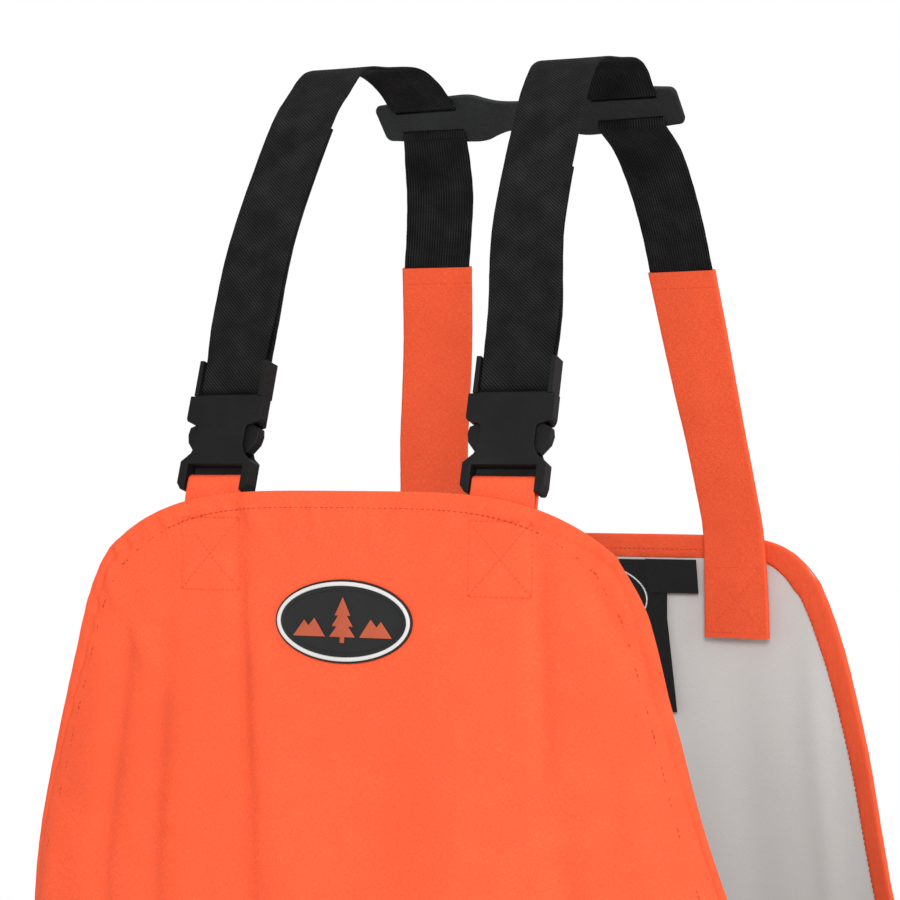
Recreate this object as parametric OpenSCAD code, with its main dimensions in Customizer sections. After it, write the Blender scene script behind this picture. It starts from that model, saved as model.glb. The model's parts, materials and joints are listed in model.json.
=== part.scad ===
// Bib-and-brace chainsaw trousers: a hi-vis bib front and back, trouser legs with cut-resistant
// pads in their fronts, and elastic braces that run from side-release buckles over the shoulders,
// through a moulded back yoke, to fabric straps sewn inside the back panel.
//
// Millimetres. +X is the viewer's right from the front, the front faces -Y, +Z is up. The origin is
// between the two brace crests, on their undersides, where the garment hangs on the shoulders.

/* [Bib and back panel] */
// Distance of the bib's face in front of the shoulder line
bib_front_y = 162; // [150:1:180]
// Distance of the back panel behind the shoulder line
bib_back_y = 144; // [135:1:165]
// Height of the bib's top edge
bib_top_z = -240; // [-250:1:-235]
// Height of the back panel's top edge
back_top_z = -270; // [-280:1:-262]
// Height of the seam between the bib and the legs, at the bottom of the arm openings
waist_z = -600; // [-620:5:-590]
// Half of the garment's width at the waist seam
waist_half_w = 250; // [240:1:270]
// Thickness of the coated cloth
cloth_t = 1.6; // [1.2:0.1:2]
// Width of the turned edge round the bib and the back panel
hem_w = 12; // [9:1:16]

/* [Legs] */
// Height of the crotch point
crotch_z = -825; // [-850:5:-800]
// Height of the leg ends
hem_z = -1405; // [-1450:5:-1350]
// Depth of the turned leg end
cuff_h = 28; // [20:1:40]
// Thickness of one cut-resistant leg pad
pad_t = 6; // [4:0.5:8]

/* [Braces] */
// Width of the elastic where it runs free
elastic_w = 40; // [38:1:41]
// Thickness of the elastic
elastic_t = 1.8; // [1.5:0.1:2]
// Width of the fabric back straps
back_strap_w = 45; // [43:1:48]
// Width of the sewn tabs that hold the buckles
tab_w = 35; // [32:0.5:36]

/* [Buckles] */
// Overall width of a buckle
buckle_w = 47.5; // [47:0.5:52]
// Thickness of a buckle
buckle_t = 11.5; // [11:0.5:13]
// Lean of the buckles towards the back, in degrees
buckle_lean = 17; // [14:1:22]
// Turn of the buckles towards the sides, in degrees
buckle_turn = 3.5; // [0:0.5:8]

/* [Back yoke] */
// Overall width of the yoke
yoke_w = 194; // [188:1:204]
// Height of the yoke's ends
yoke_h = 26; // [24:1:30]
// Thickness of the yoke
yoke_t = 3; // [2.5:0.5:3.5]
// Slope of the yoke below the horizontal, in degrees
yoke_slope = 45; // [40:1:50]

/* [Badge and label] */
// Width of the oval badge
badge_w = 80; // [76:1:86]
// Height of the oval badge
badge_h = 43; // [40:1:46]
// Width of the woven neck label's upper part
label_w = 110; // [100:1:112]

/* [Hidden] */
$fn = 48;

gap = 0.3; // clearance between cloth pieces that lie on each other
orange = [1, 0.4, 0.23];
grey = [0.8, 0.79, 0.78];
black = [0.12, 0.12, 0.12];
white = [0.92, 0.92, 0.9];

// ---- closed solids from grids of points ----

function quad(a, b, c, d) = [[a, b, c], [a, c, d]];

// A closed sheet between two grids that have the same number of rows and columns.
module sheet_solid(front, back) {
    rows = len(front);
    cols = len(front[0]);
    n = rows * cols;
    low = rows - 1;
    last = cols - 1;
    function at(layer, r, c) = layer * n + r * cols + c;
    polyhedron(
        points = concat([for (r = front) each r], [for (r = back) each r]),
        faces = concat(
            [for (r = [0:rows - 2], c = [0:cols - 2])
                each quad(at(0, r, c), at(0, r, c + 1), at(0, r + 1, c + 1), at(0, r + 1, c))],
            [for (r = [0:rows - 2], c = [0:cols - 2])
                each quad(at(1, r, c), at(1, r + 1, c), at(1, r + 1, c + 1), at(1, r, c + 1))],
            [for (c = [0:cols - 2]) each quad(at(0, 0, c), at(1, 0, c), at(1, 0, c + 1), at(0, 0, c + 1))],
            [for (c = [0:cols - 2])
                each quad(at(0, low, c), at(0, low, c + 1), at(1, low, c + 1), at(1, low, c))],
            [for (r = [0:rows - 2]) each quad(at(0, r, 0), at(0, r + 1, 0), at(1, r + 1, 0), at(1, r, 0))],
            [for (r = [0:rows - 2])
                each quad(at(0, r, last), at(1, r, last), at(1, r + 1, last), at(0, r + 1, last))]
        ),
        convexity = 8
    );
}

// A tube wall between two grids whose columns close on themselves.
module ring_solid(front, back) {
    rows = len(front);
    cols = len(front[0]);
    n = rows * cols;
    low = rows - 1;
    function at(layer, r, c) = layer * n + r * cols + c % cols;
    polyhedron(
        points = concat([for (r = front) each r], [for (r = back) each r]),
        faces = concat(
            [for (r = [0:rows - 2], c = [0:cols - 1])
                each quad(at(0, r, c), at(0, r, c + 1), at(0, r + 1, c + 1), at(0, r + 1, c))],
            [for (r = [0:rows - 2], c = [0:cols - 1])
                each quad(at(1, r, c), at(1, r + 1, c), at(1, r + 1, c + 1), at(1, r, c + 1))],
            [for (c = [0:cols - 1]) each quad(at(0, 0, c), at(1, 0, c), at(1, 0, c + 1), at(0, 0, c + 1))],
            [for (c = [0:cols - 1])
                each quad(at(0, low, c), at(0, low, c + 1), at(1, low, c + 1), at(1, low, c))]
        ),
        convexity = 8
    );
}

// ---- smooth curves through hand-placed points ----

function spline(p, i, t) =
    let (a = p[max(i - 1, 0)], b = p[i], c = p[i + 1], d = p[min(i + 2, len(p) - 1)])
    0.5 * (2 * b + (c - a) * t + (2 * a - 5 * b + 4 * c - d) * t * t + (3 * b - a - 3 * c + d) * t * t * t);

function smooth(p, steps) = concat(
    [for (i = [0:len(p) - 2], k = [0:steps - 1]) spline(p, i, k / steps)], [p[len(p) - 1]]);

function unit(v) = v / norm(v);
function place(q) = [q.x, q.y, q.z];
function tangent(p, i) = unit(place(p[min(i + 1, len(p) - 1)]) - place(p[max(i - 1, 0)]));

// A flat ribbon t thick along a path of [x, y, z, width, turn]. Its width lies level, turned from X
// towards +Y by turn degrees, and its first face is the one away from the wearer.
function across_ribbon(path, i) = [cos(path[i][4]), sin(path[i][4]), 0];
function outward(path, i) = unit(cross(across_ribbon(path, i), tangent(path, i)));
module ribbon(path, t) {
    function edge(e, face) = [for (i = [0:len(path) - 1])
        place(path[i]) + across_ribbon(path, i) * e * path[i][3] / 2 - outward(path, i) * face * t / 2];
    function layer(face) = [edge(-1, face), edge(1, face)];
    sheet_solid(layer(1), layer(-1));
}

// ---- the body's cross-sections ----

// Height and half-width of the edge beside the arm openings, upwards from the waist.
bib_edge = [[-600, 250], [-585, 247], [-560, 240], [-520, 228], [-465, 211], [-405, 193],
    [-355, 180], [-309, 168], [-295, 163], [-284, 157], [-273, 150]];
back_edge = [[-600, 250], [-590, 246], [-565, 236], [-530, 222], [-480, 206], [-446, 199],
    [-397, 190], [-350, 177], [-320, 166], [-299, 156], [-292, 150]];
corner_half_w = 150; // where the top edge turns into the arm opening
bib_corner = [32, 4]; // how far the top edge drops by then, and how late it does
back_corner = [22, 9];
torso_rows = 12;
torso_cols = 24;

function ramp(a, b, v) = let (t = min(1, max(0, (v - a) / (b - a)))) t * t * (3 - 2 * t);
function mix(a, b, t) = a + (b - a) * t;

// The superellipse power of a section: flat over the chest, flatter in front, rounder at the waist.
function power_at(z, side) = mix(side < 0 ? 4.5 : 3.4, 2.9, ramp(-380, -600, z));
function half_w_at(z) = mix(waist_half_w - 16, waist_half_w, ramp(-280, -600, z));
waist_depth = [176, 160]; // in front of and behind the shoulder line
function depth_at(z, side) = side < 0
    ? mix(bib_front_y, waist_depth[0], min(1, max(0, (bib_top_z - 30 - z) / (bib_top_z - 30 - waist_z))))
    : mix(bib_back_y, waist_depth[1], ramp(-380, -600, z));

// A point of the torso's wall at height z, inset by d: turn runs from 0 in the middle to 90 at the
// side seam, and side is -1 in front and 1 behind.
function torso_point(turn, z, side, d) =
    let (a = half_w_at(z) - d, b = depth_at(z, side) - d, n = power_at(z, side))
    [a * pow(sin(turn), 2 / n), side * b * pow(cos(turn), 2 / n), z];

// The turn at which the wall is x from the middle.
function turn_of(x, z, side) = asin(min(1, pow(x / half_w_at(z), power_at(z, side) / 2)));

// A point of the bib or the back panel: s runs from -1 to 1 across it and v from 0 at its top to 1
// at the waist. trim holds it back from the arm opening and the top edge.
function panel_point(s, v, side, d, trim = 0) =
    let (
        top_z = side < 0 ? bib_top_z : back_top_z,
        corner = side < 0 ? bib_corner : back_corner,
        low = waist_z + gap,
        z_edge = mix(top_z - corner[0], low, v),
        half = (v == 0 ? corner_half_w : lookup(z_edge, side < 0 ? bib_edge : back_edge)) - trim,
        z_top = top_z - trim * 0.8 - corner[0] * pow(abs(s), corner[1]),
        z = mix(z_top, low, v),
        turn = turn_of(half, z_edge, side) * abs(s),
        // near the top the points spread evenly across, lower down by their turn round the body
        p = torso_point(turn, z, side, d),
        q = torso_point(turn_of(half * abs(s), z, side), z, side, d),
        r = mix(q, p, ramp(0, 0.5, v))
    )
    [s < 0 ? -r.x : r.x, r.y, z];

function even(n) = [for (i = [0:n]) i / n];
function across(n) = [for (i = [-n:n]) i / n];
// Rows bunch towards the rounded corners and the bottom of the arm openings.
function panel_rows(n) = [for (v = even(n)) mix(v, (1 - cos(180 * v)) / 2, 0.5)];

module torso_panel(side) {
    function grid(d) = [for (v = panel_rows(torso_rows))
        [for (s = across(torso_cols / 2)) panel_point(s * -side, v, side, d)]];
    sheet_solid(grid(0), grid(cloth_t));
}

// The facing: a strip sewn just inside a panel's edge, up one arm opening, over the top and down the
// other.
facing_end_v = 0.9; // how far down the arm openings it runs
module edge_facing(side) {
    steps = 18;
    function rim(trim, d) = concat(
        [for (i = [0:steps - 1]) panel_point(-1, facing_end_v * (1 - i / steps), side, d, trim)],
        [for (i = [0:2 * steps]) panel_point(i / steps - 1, 0, side, d, trim)],
        [for (i = [1:steps]) panel_point(1, facing_end_v * i / steps, side, d, trim)]
    );
    near = cloth_t + 2 * gap;
    far = near + 1;
    function grid(d) = side < 0 ? [rim(hem_w, d), rim(gap, d)] : [rim(gap, d), rim(hem_w, d)];
    sheet_solid(grid(near), grid(far));
}

// ---- legs ----

leg_rows = 18;
leg_cols = 12;
knee_z = -1090;
// Height, middle, half-width and half-depth of a leg's section, from the crotch down.
thigh = [crotch_z, 124.3, 124, 134];
knee = [knee_z, 141, 101, 103];
ankle = [hem_z, 150, 89, 88];

function leg_size(z, k) = z > knee.x
    ? mix(knee[k], thigh[k], ramp(knee.x, thigh.x, z)) : mix(ankle[k], knee[k], ramp(ankle.x, knee.x, z));

// A point of a leg's wall at height z, inset by d: share runs from 0 at the side seam to 1 at the
// middle of the body, or at the inside leg seam below the crotch.
function leg_point(share, z, side, d) =
    let (
        torso = torso_point(90 * (1 - share), z, side, d),
        turn = 180 * share,
        leg = [leg_size(z, 1) + (leg_size(z, 2) - d) * cos(turn),
            side * (leg_size(z, 3) - d) * sin(turn), z],
        p = mix(torso, leg, ramp(waist_z, crotch_z, z))
    )
    [p.x + gap, side < 0 ? min(p.y, -gap / 2) : max(p.y, gap / 2), z];

function leg_z(v) = mix(waist_z - gap, hem_z, v);

// Part of one half of the right leg, between two insets. Its rows and columns are shares of the leg's
// length and of the way round it, so that pieces which lie on each other keep the same facets.
module leg_sheet(side, rows, cols, near, far) {
    function grid(d) = [for (v = rows) [for (share = cols) leg_point(share, leg_z(v), side, d)]];
    sheet_solid(grid(near), grid(far));
}

module leg_half(side) {
    shares = even(leg_cols);
    leg_sheet(side, even(leg_rows), side < 0 ? [for (share = shares) 1 - share] : shares, 0, cloth_t);
}

pad_rows = [3:17]; // of the leg's rows, the ones a pad covers
pad_cols = [10:-1:1]; // and of its columns
pad_near = cloth_t + 2 * gap;
module leg_pad() {
    leg_sheet(-1, [for (i = pad_rows) i / leg_rows], [for (k = pad_cols) k / leg_cols],
        pad_near, pad_near + pad_t);
}

// The lining reaches a little past the pad on every side.
module pad_lining() {
    near = pad_near + pad_t + 2 * gap;
    past = 0.4;
    leg_sheet(-1,
        concat([(3 - past) / leg_rows], [for (i = pad_rows) i / leg_rows], [(17 + past) / leg_rows]),
        concat([(10 + past) / leg_cols], [for (k = pad_cols) k / leg_cols], [(1 - past) / leg_cols]),
        near, near + 0.8);
}

// The turned leg end: a band inside the leg's opening.
module leg_cuff() {
    near = cloth_t + gap;
    function row(z, d) = concat(
        [for (k = [0:leg_cols - 1]) leg_point(1 - k / leg_cols, z, -1, d)],
        [for (k = [0:leg_cols - 1]) leg_point(k / leg_cols, z, 1, d)]);
    function grid(d) = [row(hem_z + cuff_h, d), row(hem_z + 0.5, d)];
    ring_solid(grid(near), grid(near + 1));
}

// ---- braces ----

mouth = [84, -135.5, -191.7]; // middle of a buckle body's mouth
along = [-sin(buckle_turn) * sin(buckle_lean), cos(buckle_turn) * sin(buckle_lean), cos(buckle_lean)];
inwards = [-sin(buckle_turn) * cos(buckle_lean), cos(buckle_turn) * cos(buckle_lean), -sin(buckle_lean)];
// A point v behind the buckle's middle plane and w above its mouth.
function on_buckle(v, w) = mouth + inwards * v + along * w;

yoke_mid = [0, 57, -22];
down_yoke = [0, cos(yoke_slope), -sin(yoke_slope)];
under_yoke = [0, -sin(yoke_slope), -cos(yoke_slope)];
// A point s down the yoke from its middle line and o out of its lower face.
function on_yoke(x, s, o) = yoke_mid + down_yoke * s + under_yoke * o + [x, 0, 0];

// Gives every point of a path its width and its turn.
function wide(path, w, turn = 0) = [for (p = path) [p.x, p.y, p.z, w, turn]];

bar_w = 5.6; // height of the bar the elastic loops round, above the mouth
bar_r = 1.6;
loop_r = bar_r + gap + elastic_t / 2; // radius of that loop
buckle_loop_w = elastic_w - 2; // the elastic is drawn in a little there
rear_w = elastic_w + 2; // and lies a little wider behind the shoulders

from_bar = wide(concat(
    [for (a = [100:-20:0]) on_buckle(-loop_r * cos(a), bar_w - loop_r * sin(a))],
    [on_buckle(-loop_r, 12), on_buckle(-loop_r, 20)]), buckle_loop_w, buckle_turn);
// The two braces lie a little differently over the shoulders.
right_over = concat(
    [[78.4, -109, -101, elastic_w, 1]],
    wide([[73.8, -72, -40], [71, -52, -20.5], [69, -31, -8.4], [68.3, -8, -2.2]], elastic_w),
    wide([[67.2, 15, 0.9], [65.6, 33, -3.8]], rear_w));
left_over = concat(
    [[80.8, -109, -101, elastic_w, 1]],
    wide([[79, -72, -40], [78.6, -52, -18.5], [78.4, -31, -3.5], [77, -8, 3]], elastic_w),
    wide([[73, 15, 4.6], [68.5, 33, -0.6]], rear_w));
// In through the yoke's upper slot, over its lower face and out through the lower slot.
into_yoke = [on_yoke(64.5, -14, 2.9), on_yoke(64, -11, 2.6), on_yoke(64, -8.5, 0), on_yoke(64, -6.4, -2.3),
    on_yoke(64, -3.5, -2.95)];
out_of_yoke = [on_yoke(64, 3.5, -2.95), on_yoke(64, 6.4, -2.3), on_yoke(64, 8.5, 0), on_yoke(64.3, 11, 2.6),
    on_yoke(64.6, 14, 2.9)];
through_yoke = wide(concat(into_yoke, [on_yoke(64, 0, -3)], out_of_yoke), rear_w);
right_down = [[70.6, 72, -46, rear_w, -3], [75.5, 80, -66, rear_w, -6], [79, 89, -90, rear_w, -8],
    [80.8, 96.2, -112.6, rear_w, -8]];
left_down = [[66.6, 72, -46, rear_w, -3], [69, 80, -66, rear_w, -6], [74.5, 89, -90, rear_w, -8],
    [78.7, 94.9, -105.6, rear_w, -8]];

function brace_route(over, down) = smooth(concat(from_bar, over, through_yoke, down), 3);

module elastic_brace(over, down) {
    color(black) ribbon(brace_route(over, down), elastic_t);
}

// The free end comes back up from the buckle's bar, behind the brace, and closes up to it above the
// buckle. It follows the brace's own steps, from beside the latch to just below the shoulder.
tail_from = 18;
tail_closes = [21, 26];
tail_to = 27;
tail_offset = elastic_t + 2 * gap;
function tail_route(over, down) =
    let (p = brace_route(over, down))
    concat(
        wide([on_buckle(loop_r, bar_w)], buckle_loop_w, buckle_turn),
        [for (i = [tail_from:tail_to])
            let (d = mix(2 * loop_r, tail_offset, ramp(tail_closes[0], tail_closes[1], i)))
            let (q = place(p[i]) - outward(p, i) * d)
            [q.x, q.y, q.z, p[i][3], p[i][4]]]);

module brace_tail(over, down) {
    color(black) ribbon(tail_route(over, down), elastic_t);
}

strap_t = 3;
strap_w = back_strap_w;
back_strap_y = bib_back_y - cloth_t - 1 - 3 * gap - strap_t / 2;
right_back_route = [[81.2, 97.5, -114, strap_w, -8], [85.2, 109.6, -155, strap_w, -8],
    [88.9, 117.5, -187, strap_w, -8], [92, 123.8, -213, strap_w, -8], [95, 130.5, -243, strap_w, -7],
    [98, 133.5, -268, strap_w, -7], [100, back_strap_y - 6.5, -300, strap_w, -6.5],
    [100, back_strap_y - 6.5, -331, strap_w, -6.5]];
left_back_route = [[78.9, 95.4, -107, strap_w, -8], [85.2, 108.8, -150, strap_w, -8],
    [91, 117.5, -187, strap_w, -8], [95.5, 123.8, -213, strap_w, -8], [99, 130.5, -243, strap_w, -7],
    [101, 133.5, -268, strap_w, -7], [102, back_strap_y - 6.5, -300, strap_w, -6.5],
    [102, back_strap_y - 6.5, -331, strap_w, -6.5]];

module back_strap(route) {
    color(orange) ribbon(smooth(route, 2), strap_t);
}

// The cloth tab: up from inside the bib, round the buckle body's bar and back down.
tab_t = 1.4;
tab_bar_w = -46.3;
tab_bar_r = 2.1;
tab_loop_r = tab_bar_r + gap + tab_t / 2;
tab_near_y = -bib_front_y + cloth_t + 1 + 3 * gap + tab_t / 2 + 1.6;
tab_far_y = tab_near_y + tab_t + gap;
tab_low_w = tab_w + 2.5; // the tab is a little wider where it is sewn to the bib

module buckle_tab() {
    up = [[85, tab_near_y, -293, tab_low_w, buckle_turn], [85, tab_near_y, -262, tab_low_w, buckle_turn]];
    loop = wide(concat([on_buckle(-tab_loop_r, tab_bar_w - 5)],
        [for (a = [0:30:180]) on_buckle(-tab_loop_r * cos(a), tab_bar_w + tab_loop_r * sin(a))],
        [on_buckle(tab_loop_r - 0.6, tab_bar_w - 5)]), tab_w, buckle_turn);
    down = [[85, tab_far_y, -262, tab_low_w, buckle_turn], [85, tab_far_y, -293, tab_low_w, buckle_turn]];
    color(orange) ribbon(smooth(concat(up, loop, down), 2), tab_t);
}

// ---- side-release buckle, drawn with its mouth at the origin, face towards -Y, up is +Z ----

half = buckle_w / 2;
wall = 2.2;
cavity_half = half - 3; // inside half-width of the collar
body_end = -52;

module place_buckle() {
    translate(mouth) rotate([0, 0, buckle_turn]) rotate([-buckle_lean, 0, 0]) children();
}

// An outline in X and Z, given thickness t about the middle plane.
module upright(t) {
    rotate([90, 0, 0]) linear_extrude(height = t, center = true) children();
}

module both_sides() {
    children();
    mirror([1, 0, 0]) children();
}

// An outline given by its right half, from its top middle to its bottom middle.
module mirrored(right) {
    polygon(concat(right, [for (i = [len(right) - 1:-1:0]) if (right[i].x > 0) [-right[i].x, right[i].y]]));
}

lug_inner = half - 6;
module body_outline() {
    mirrored([[half, 0], [half, -12.6], [half - 0.8, -14.2], [half - 7.5, -16.2], [half - 8.7, -17.6],
        [half - 8.7, -27], [half - 6.6, -32], [half - 1, -36.7], [half - 1, -48.5], [half - 3.6, body_end],
        [lug_inner, body_end], [lug_inner, -37.8]]);
}

// The body's cross-section: its back edges are cut away at an angle.
module body_section() {
    mid = buckle_t / 2;
    polygon([[-half, -mid], [half, -mid], [half, mid - 4.2], [half - 3, mid], [3 - half, mid],
        [-half, mid - 4.2]]);
}

module buckle_body() {
    color(black) place_buckle() {
        difference() {
            intersection() {
                upright(buckle_t) body_outline();
                translate([0, 0, body_end - 1]) linear_extrude(height = 2 - body_end) body_section();
            }
            // cavity for the latch
            translate([-cavity_half, -buckle_t / 2 + wall, -34])
                cube([2 * cavity_half, buckle_t - 2 * wall, 35]);
        }
        // web behind the tab's loop
        translate([-lug_inner - 0.1, 2.4, body_end + 9.8]) cube([2 * lug_inner + 0.2, 2.2, 4.6]);
        translate([-lug_inner - 0.1, 0, tab_bar_w]) rotate([0, 90, 0])
            cylinder(r = tab_bar_r, h = 2 * lug_inner + 0.2);
    }
}

latch_half = half - 2;
latch_t = buckle_t - 2 * wall - 0.7;
rail_t = buckle_t - 0.8;
rail_w = 2.5;
latch_top = 20.2;
arm_root = 13.7; // how far from the middle an arm's hinge lies
arm_root_w = -2; // and how far above the mouth
arm_root_r = 2.1; // radius of the arm's rounded root

module buckle_latch() {
    color(black) place_buckle() {
        difference() {
            union() {
                // rails beside the elastic
                both_sides() translate([latch_half - rail_w, -rail_t / 2, 0.4])
                    cube([rail_w, rail_t, latch_top - 0.4]);
                // base plate
                translate([-latch_half, -latch_t / 2, 0.4]) cube([2 * latch_half, latch_t, 1.1]);
                // guide tongue with a pointed end
                upright(latch_t - 0.4) mirrored([[0, 1], [5, 1], [5, -27], [2, -31], [0, -31]]);
                // roots of the two arms
                both_sides() translate([4.5, -latch_t / 2, -1]) cube([6.6, latch_t, 2]);
            }
            // lightening slot in the tongue
            upright(latch_t + 1) polygon([[-1.6, -6], [-1.6, -22], [1.6, -22], [1.6, -6]]);
        }
        // the bar the elastic loops round, and the locking bar in the middle of the loop's top
        for (bar = [[bar_w, bar_r], [16, 1.5]])
            translate([-latch_half + 1, 0, bar[0]]) rotate([0, 90, 0])
                cylinder(r = bar[1], h = 2 * latch_half - 2);
    }
}

// One springy arm, on the +X side: a thin leg and a barb whose shoulder catches under the collar.
module latch_arm() {
    color(black) place_buckle() {
        upright(latch_t) polygon([[arm_root - arm_root_r, arm_root_w], [arm_root + arm_root_r, arm_root_w],
            [16.4, -14.6], [half - 1.6, -17], [half - 0.9, -21], [half - 1.9, -25.5], [half - 6.4, -30.8],
            [half - 9, -31.2], [half - 10, -28], [13.4, -16.5]]);
        translate([arm_root, 0, arm_root_w]) rotate([90, 0, 0])
            cylinder(r = arm_root_r, h = latch_t, center = true);
    }
}

// The same arm on the other side of its buckle.
module inner_latch_arm() {
    translate(mouth) rotate([0, 0, buckle_turn]) mirror([1, 0, 0]) rotate([0, 0, -buckle_turn])
        translate(-mouth) latch_arm();
}

// ---- back yoke ----

slot_mid = 64;
slot_half_w = 22.5;
slot_outer = [4.9, 11.8]; // a slot's edges above the middle line, at its outer end
slot_inner = [5.7, 12]; // and at its inner end

// The yoke: waisted in the middle, widest just inside the slots, narrower at its ends.
module yoke_outline() {
    e = yoke_w / 2;
    h = yoke_h / 2;
    upper = [[0, 9.6], [8, 9.9], [16, 11], [23, 13.4], [29, 16], [35, 17], [43, 16.8], [70, 15.2],
        [e - 7, h + 0.3], [e - 3, h - 0.3], [e - 1, h - 1.6], [e, h - 4]];
    mirrored(concat(upper, [for (i = [len(upper) - 1:-1:0]) [upper[i].x, -upper[i].y]]));
}

module back_yoke() {
    color(black) translate(yoke_mid) rotate([-yoke_slope - 90, 0, 0])
        difference() {
            upright(yoke_t) yoke_outline();
            upright(yoke_t + 1) both_sides() for (flip = [1, -1])
                polygon([[slot_mid - slot_half_w, flip * slot_inner[0]],
                    [slot_mid - slot_half_w, flip * slot_inner[1]],
                    [slot_mid + slot_half_w, flip * slot_outer[1]],
                    [slot_mid + slot_half_w, flip * slot_outer[0]]]);
        }
}

// ---- badge, label and flag ----

badge_z = -307;
function oval(w, h) = [for (a = [0:7.5:352.5]) [w / 2 * cos(a), h / 2 * sin(a)]];

// The bib's face leans out a little towards the waist.
bib_lean = atan((waist_depth[0] - bib_front_y) / (bib_top_z - 30 - waist_z));

// Places a flat outline on the bib's face, with its back at distance out and its thickness t.
module on_bib(out, t) {
    translate([0, -depth_at(badge_z, -1), badge_z]) rotate([90 - bib_lean, 0, 0])
        translate([0, 0, out]) linear_extrude(height = t) children();
}

module badge_plate() {
    color(black) on_bib(0.3, 1.4) polygon(oval(badge_w, badge_h));
}

module badge_rim() {
    color(white) on_bib(1.7, 0.7) difference() {
        polygon(oval(badge_w - 2.4, badge_h - 2.4));
        polygon(oval(badge_w - 6, badge_h - 6));
    }
}

// A plain fir tree between two hills.
module badge_emblem() {
    color(orange) on_bib(1.7, 0.6) {
        polygon([[-1.3, -11], [1.3, -11], [1.3, -8], [7.6, -8], [3.4, -2.6], [6.2, -2.6], [2.6, 3],
            [4.6, 3], [0, 12.5], [-4.6, 3], [-2.6, 3], [-6.2, -2.6], [-3.4, -2.6], [-7.6, -8], [-1.3, -8]]);
        both_sides() polygon([[10, -8], [16.5, 1.5], [20, -2.5], [22.5, 0.5], [29, -8]]);
    }
}

label_z = -276.5;
label_out = bib_back_y - cloth_t - 1 - 2 * gap - 0.9;
module neck_label() {
    top = label_w / 2;
    color(black) translate([0, label_out, label_z]) rotate([90, 0, 0]) linear_extrude(height = 0.6)
        polygon([[-top, -9], [-top, -44], [-top - 7, -101], [top + 7, -101], [top, -44], [top, -9]]);
}

module size_flag() {
    color(black) translate([0, label_out - 0.9, label_z]) rotate([90, 0, 0]) linear_extrude(height = 0.6)
        polygon([[label_w / 2 - 14, -8.6], [label_w / 2 + 19, -8.6], [label_w / 2 + 21, -26],
            [label_w / 2 - 2, -29], [label_w / 2 - 14, -29]]);
}

module left() {
    mirror([1, 0, 0]) children();
}

color(orange) torso_panel(-1);  // bib_front_panel
color(orange) torso_panel(1);  // back_panel
color(orange) edge_facing(-1);  // bib_edge_facing
color(orange) edge_facing(1);  // back_edge_facing
color(orange) leg_half(-1);  // right_front_leg
left() color(orange) leg_half(-1);  // left_front_leg
color(orange) leg_half(1);  // right_back_leg
left() color(orange) leg_half(1);  // left_back_leg
color(white) leg_pad();  // right_leg_pad
left() color(white) leg_pad();  // left_leg_pad
color(grey) pad_lining();  // right_pad_lining
left() color(grey) pad_lining();  // left_pad_lining
color(orange) leg_cuff();  // right_leg_cuff
left() color(orange) leg_cuff();  // left_leg_cuff
elastic_brace(right_over, right_down);  // right_elastic_brace
left() elastic_brace(left_over, left_down);  // left_elastic_brace
brace_tail(right_over, right_down);  // right_brace_tail
left() brace_tail(left_over, left_down);  // left_brace_tail
back_strap(right_back_route);  // right_back_strap
left() back_strap(left_back_route);  // left_back_strap
buckle_tab();  // right_buckle_tab
left() buckle_tab();  // left_buckle_tab
buckle_body();  // right_buckle_body
left() buckle_body();  // left_buckle_body
buckle_latch();  // right_buckle_latch
left() buckle_latch();  // left_buckle_latch
latch_arm();  // right_outer_latch_arm
left() latch_arm();  // left_outer_latch_arm
inner_latch_arm();  // right_inner_latch_arm
left() inner_latch_arm();  // left_inner_latch_arm
back_yoke();
badge_plate();
badge_rim();
badge_emblem();
neck_label();
size_flag();
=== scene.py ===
import json
import math

import bmesh
import bpy
import numpy as np
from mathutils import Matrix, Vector


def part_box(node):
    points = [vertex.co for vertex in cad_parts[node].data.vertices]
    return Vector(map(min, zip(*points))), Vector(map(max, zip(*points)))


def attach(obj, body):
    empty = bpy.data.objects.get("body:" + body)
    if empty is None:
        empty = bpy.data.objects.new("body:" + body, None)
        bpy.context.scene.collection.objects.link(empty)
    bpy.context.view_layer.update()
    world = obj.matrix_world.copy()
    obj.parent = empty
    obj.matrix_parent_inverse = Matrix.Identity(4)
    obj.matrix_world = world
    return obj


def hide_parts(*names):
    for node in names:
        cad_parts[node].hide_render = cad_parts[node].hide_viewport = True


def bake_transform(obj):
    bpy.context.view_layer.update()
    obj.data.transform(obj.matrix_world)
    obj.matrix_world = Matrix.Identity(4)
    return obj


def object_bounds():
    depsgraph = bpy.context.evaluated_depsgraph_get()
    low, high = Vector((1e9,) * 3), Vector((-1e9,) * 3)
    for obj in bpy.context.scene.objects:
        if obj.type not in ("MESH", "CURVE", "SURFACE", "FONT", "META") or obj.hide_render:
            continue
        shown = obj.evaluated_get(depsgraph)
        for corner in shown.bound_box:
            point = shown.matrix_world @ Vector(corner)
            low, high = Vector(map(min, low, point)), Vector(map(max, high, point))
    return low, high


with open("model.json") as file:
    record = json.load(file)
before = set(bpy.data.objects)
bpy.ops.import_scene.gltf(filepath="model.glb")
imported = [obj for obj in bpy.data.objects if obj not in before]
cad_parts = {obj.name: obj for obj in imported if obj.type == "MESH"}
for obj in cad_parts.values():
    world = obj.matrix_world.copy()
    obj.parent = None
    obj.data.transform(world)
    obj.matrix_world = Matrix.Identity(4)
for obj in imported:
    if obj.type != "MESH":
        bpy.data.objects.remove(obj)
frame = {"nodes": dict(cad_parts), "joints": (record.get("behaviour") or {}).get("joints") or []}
cad_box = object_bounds()

# Everything below is worked out in millimetres, in the frame's own axes, and turned into metres when
# a mesh is made: +X is the viewer's right, the front faces -Y, +Z is up.
MM = 0.001


def box_mm(node):
    lo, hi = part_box(node)
    return np.array(lo) / MM, np.array(hi) / MM


# ---- driving places, from the frame ----

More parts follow.
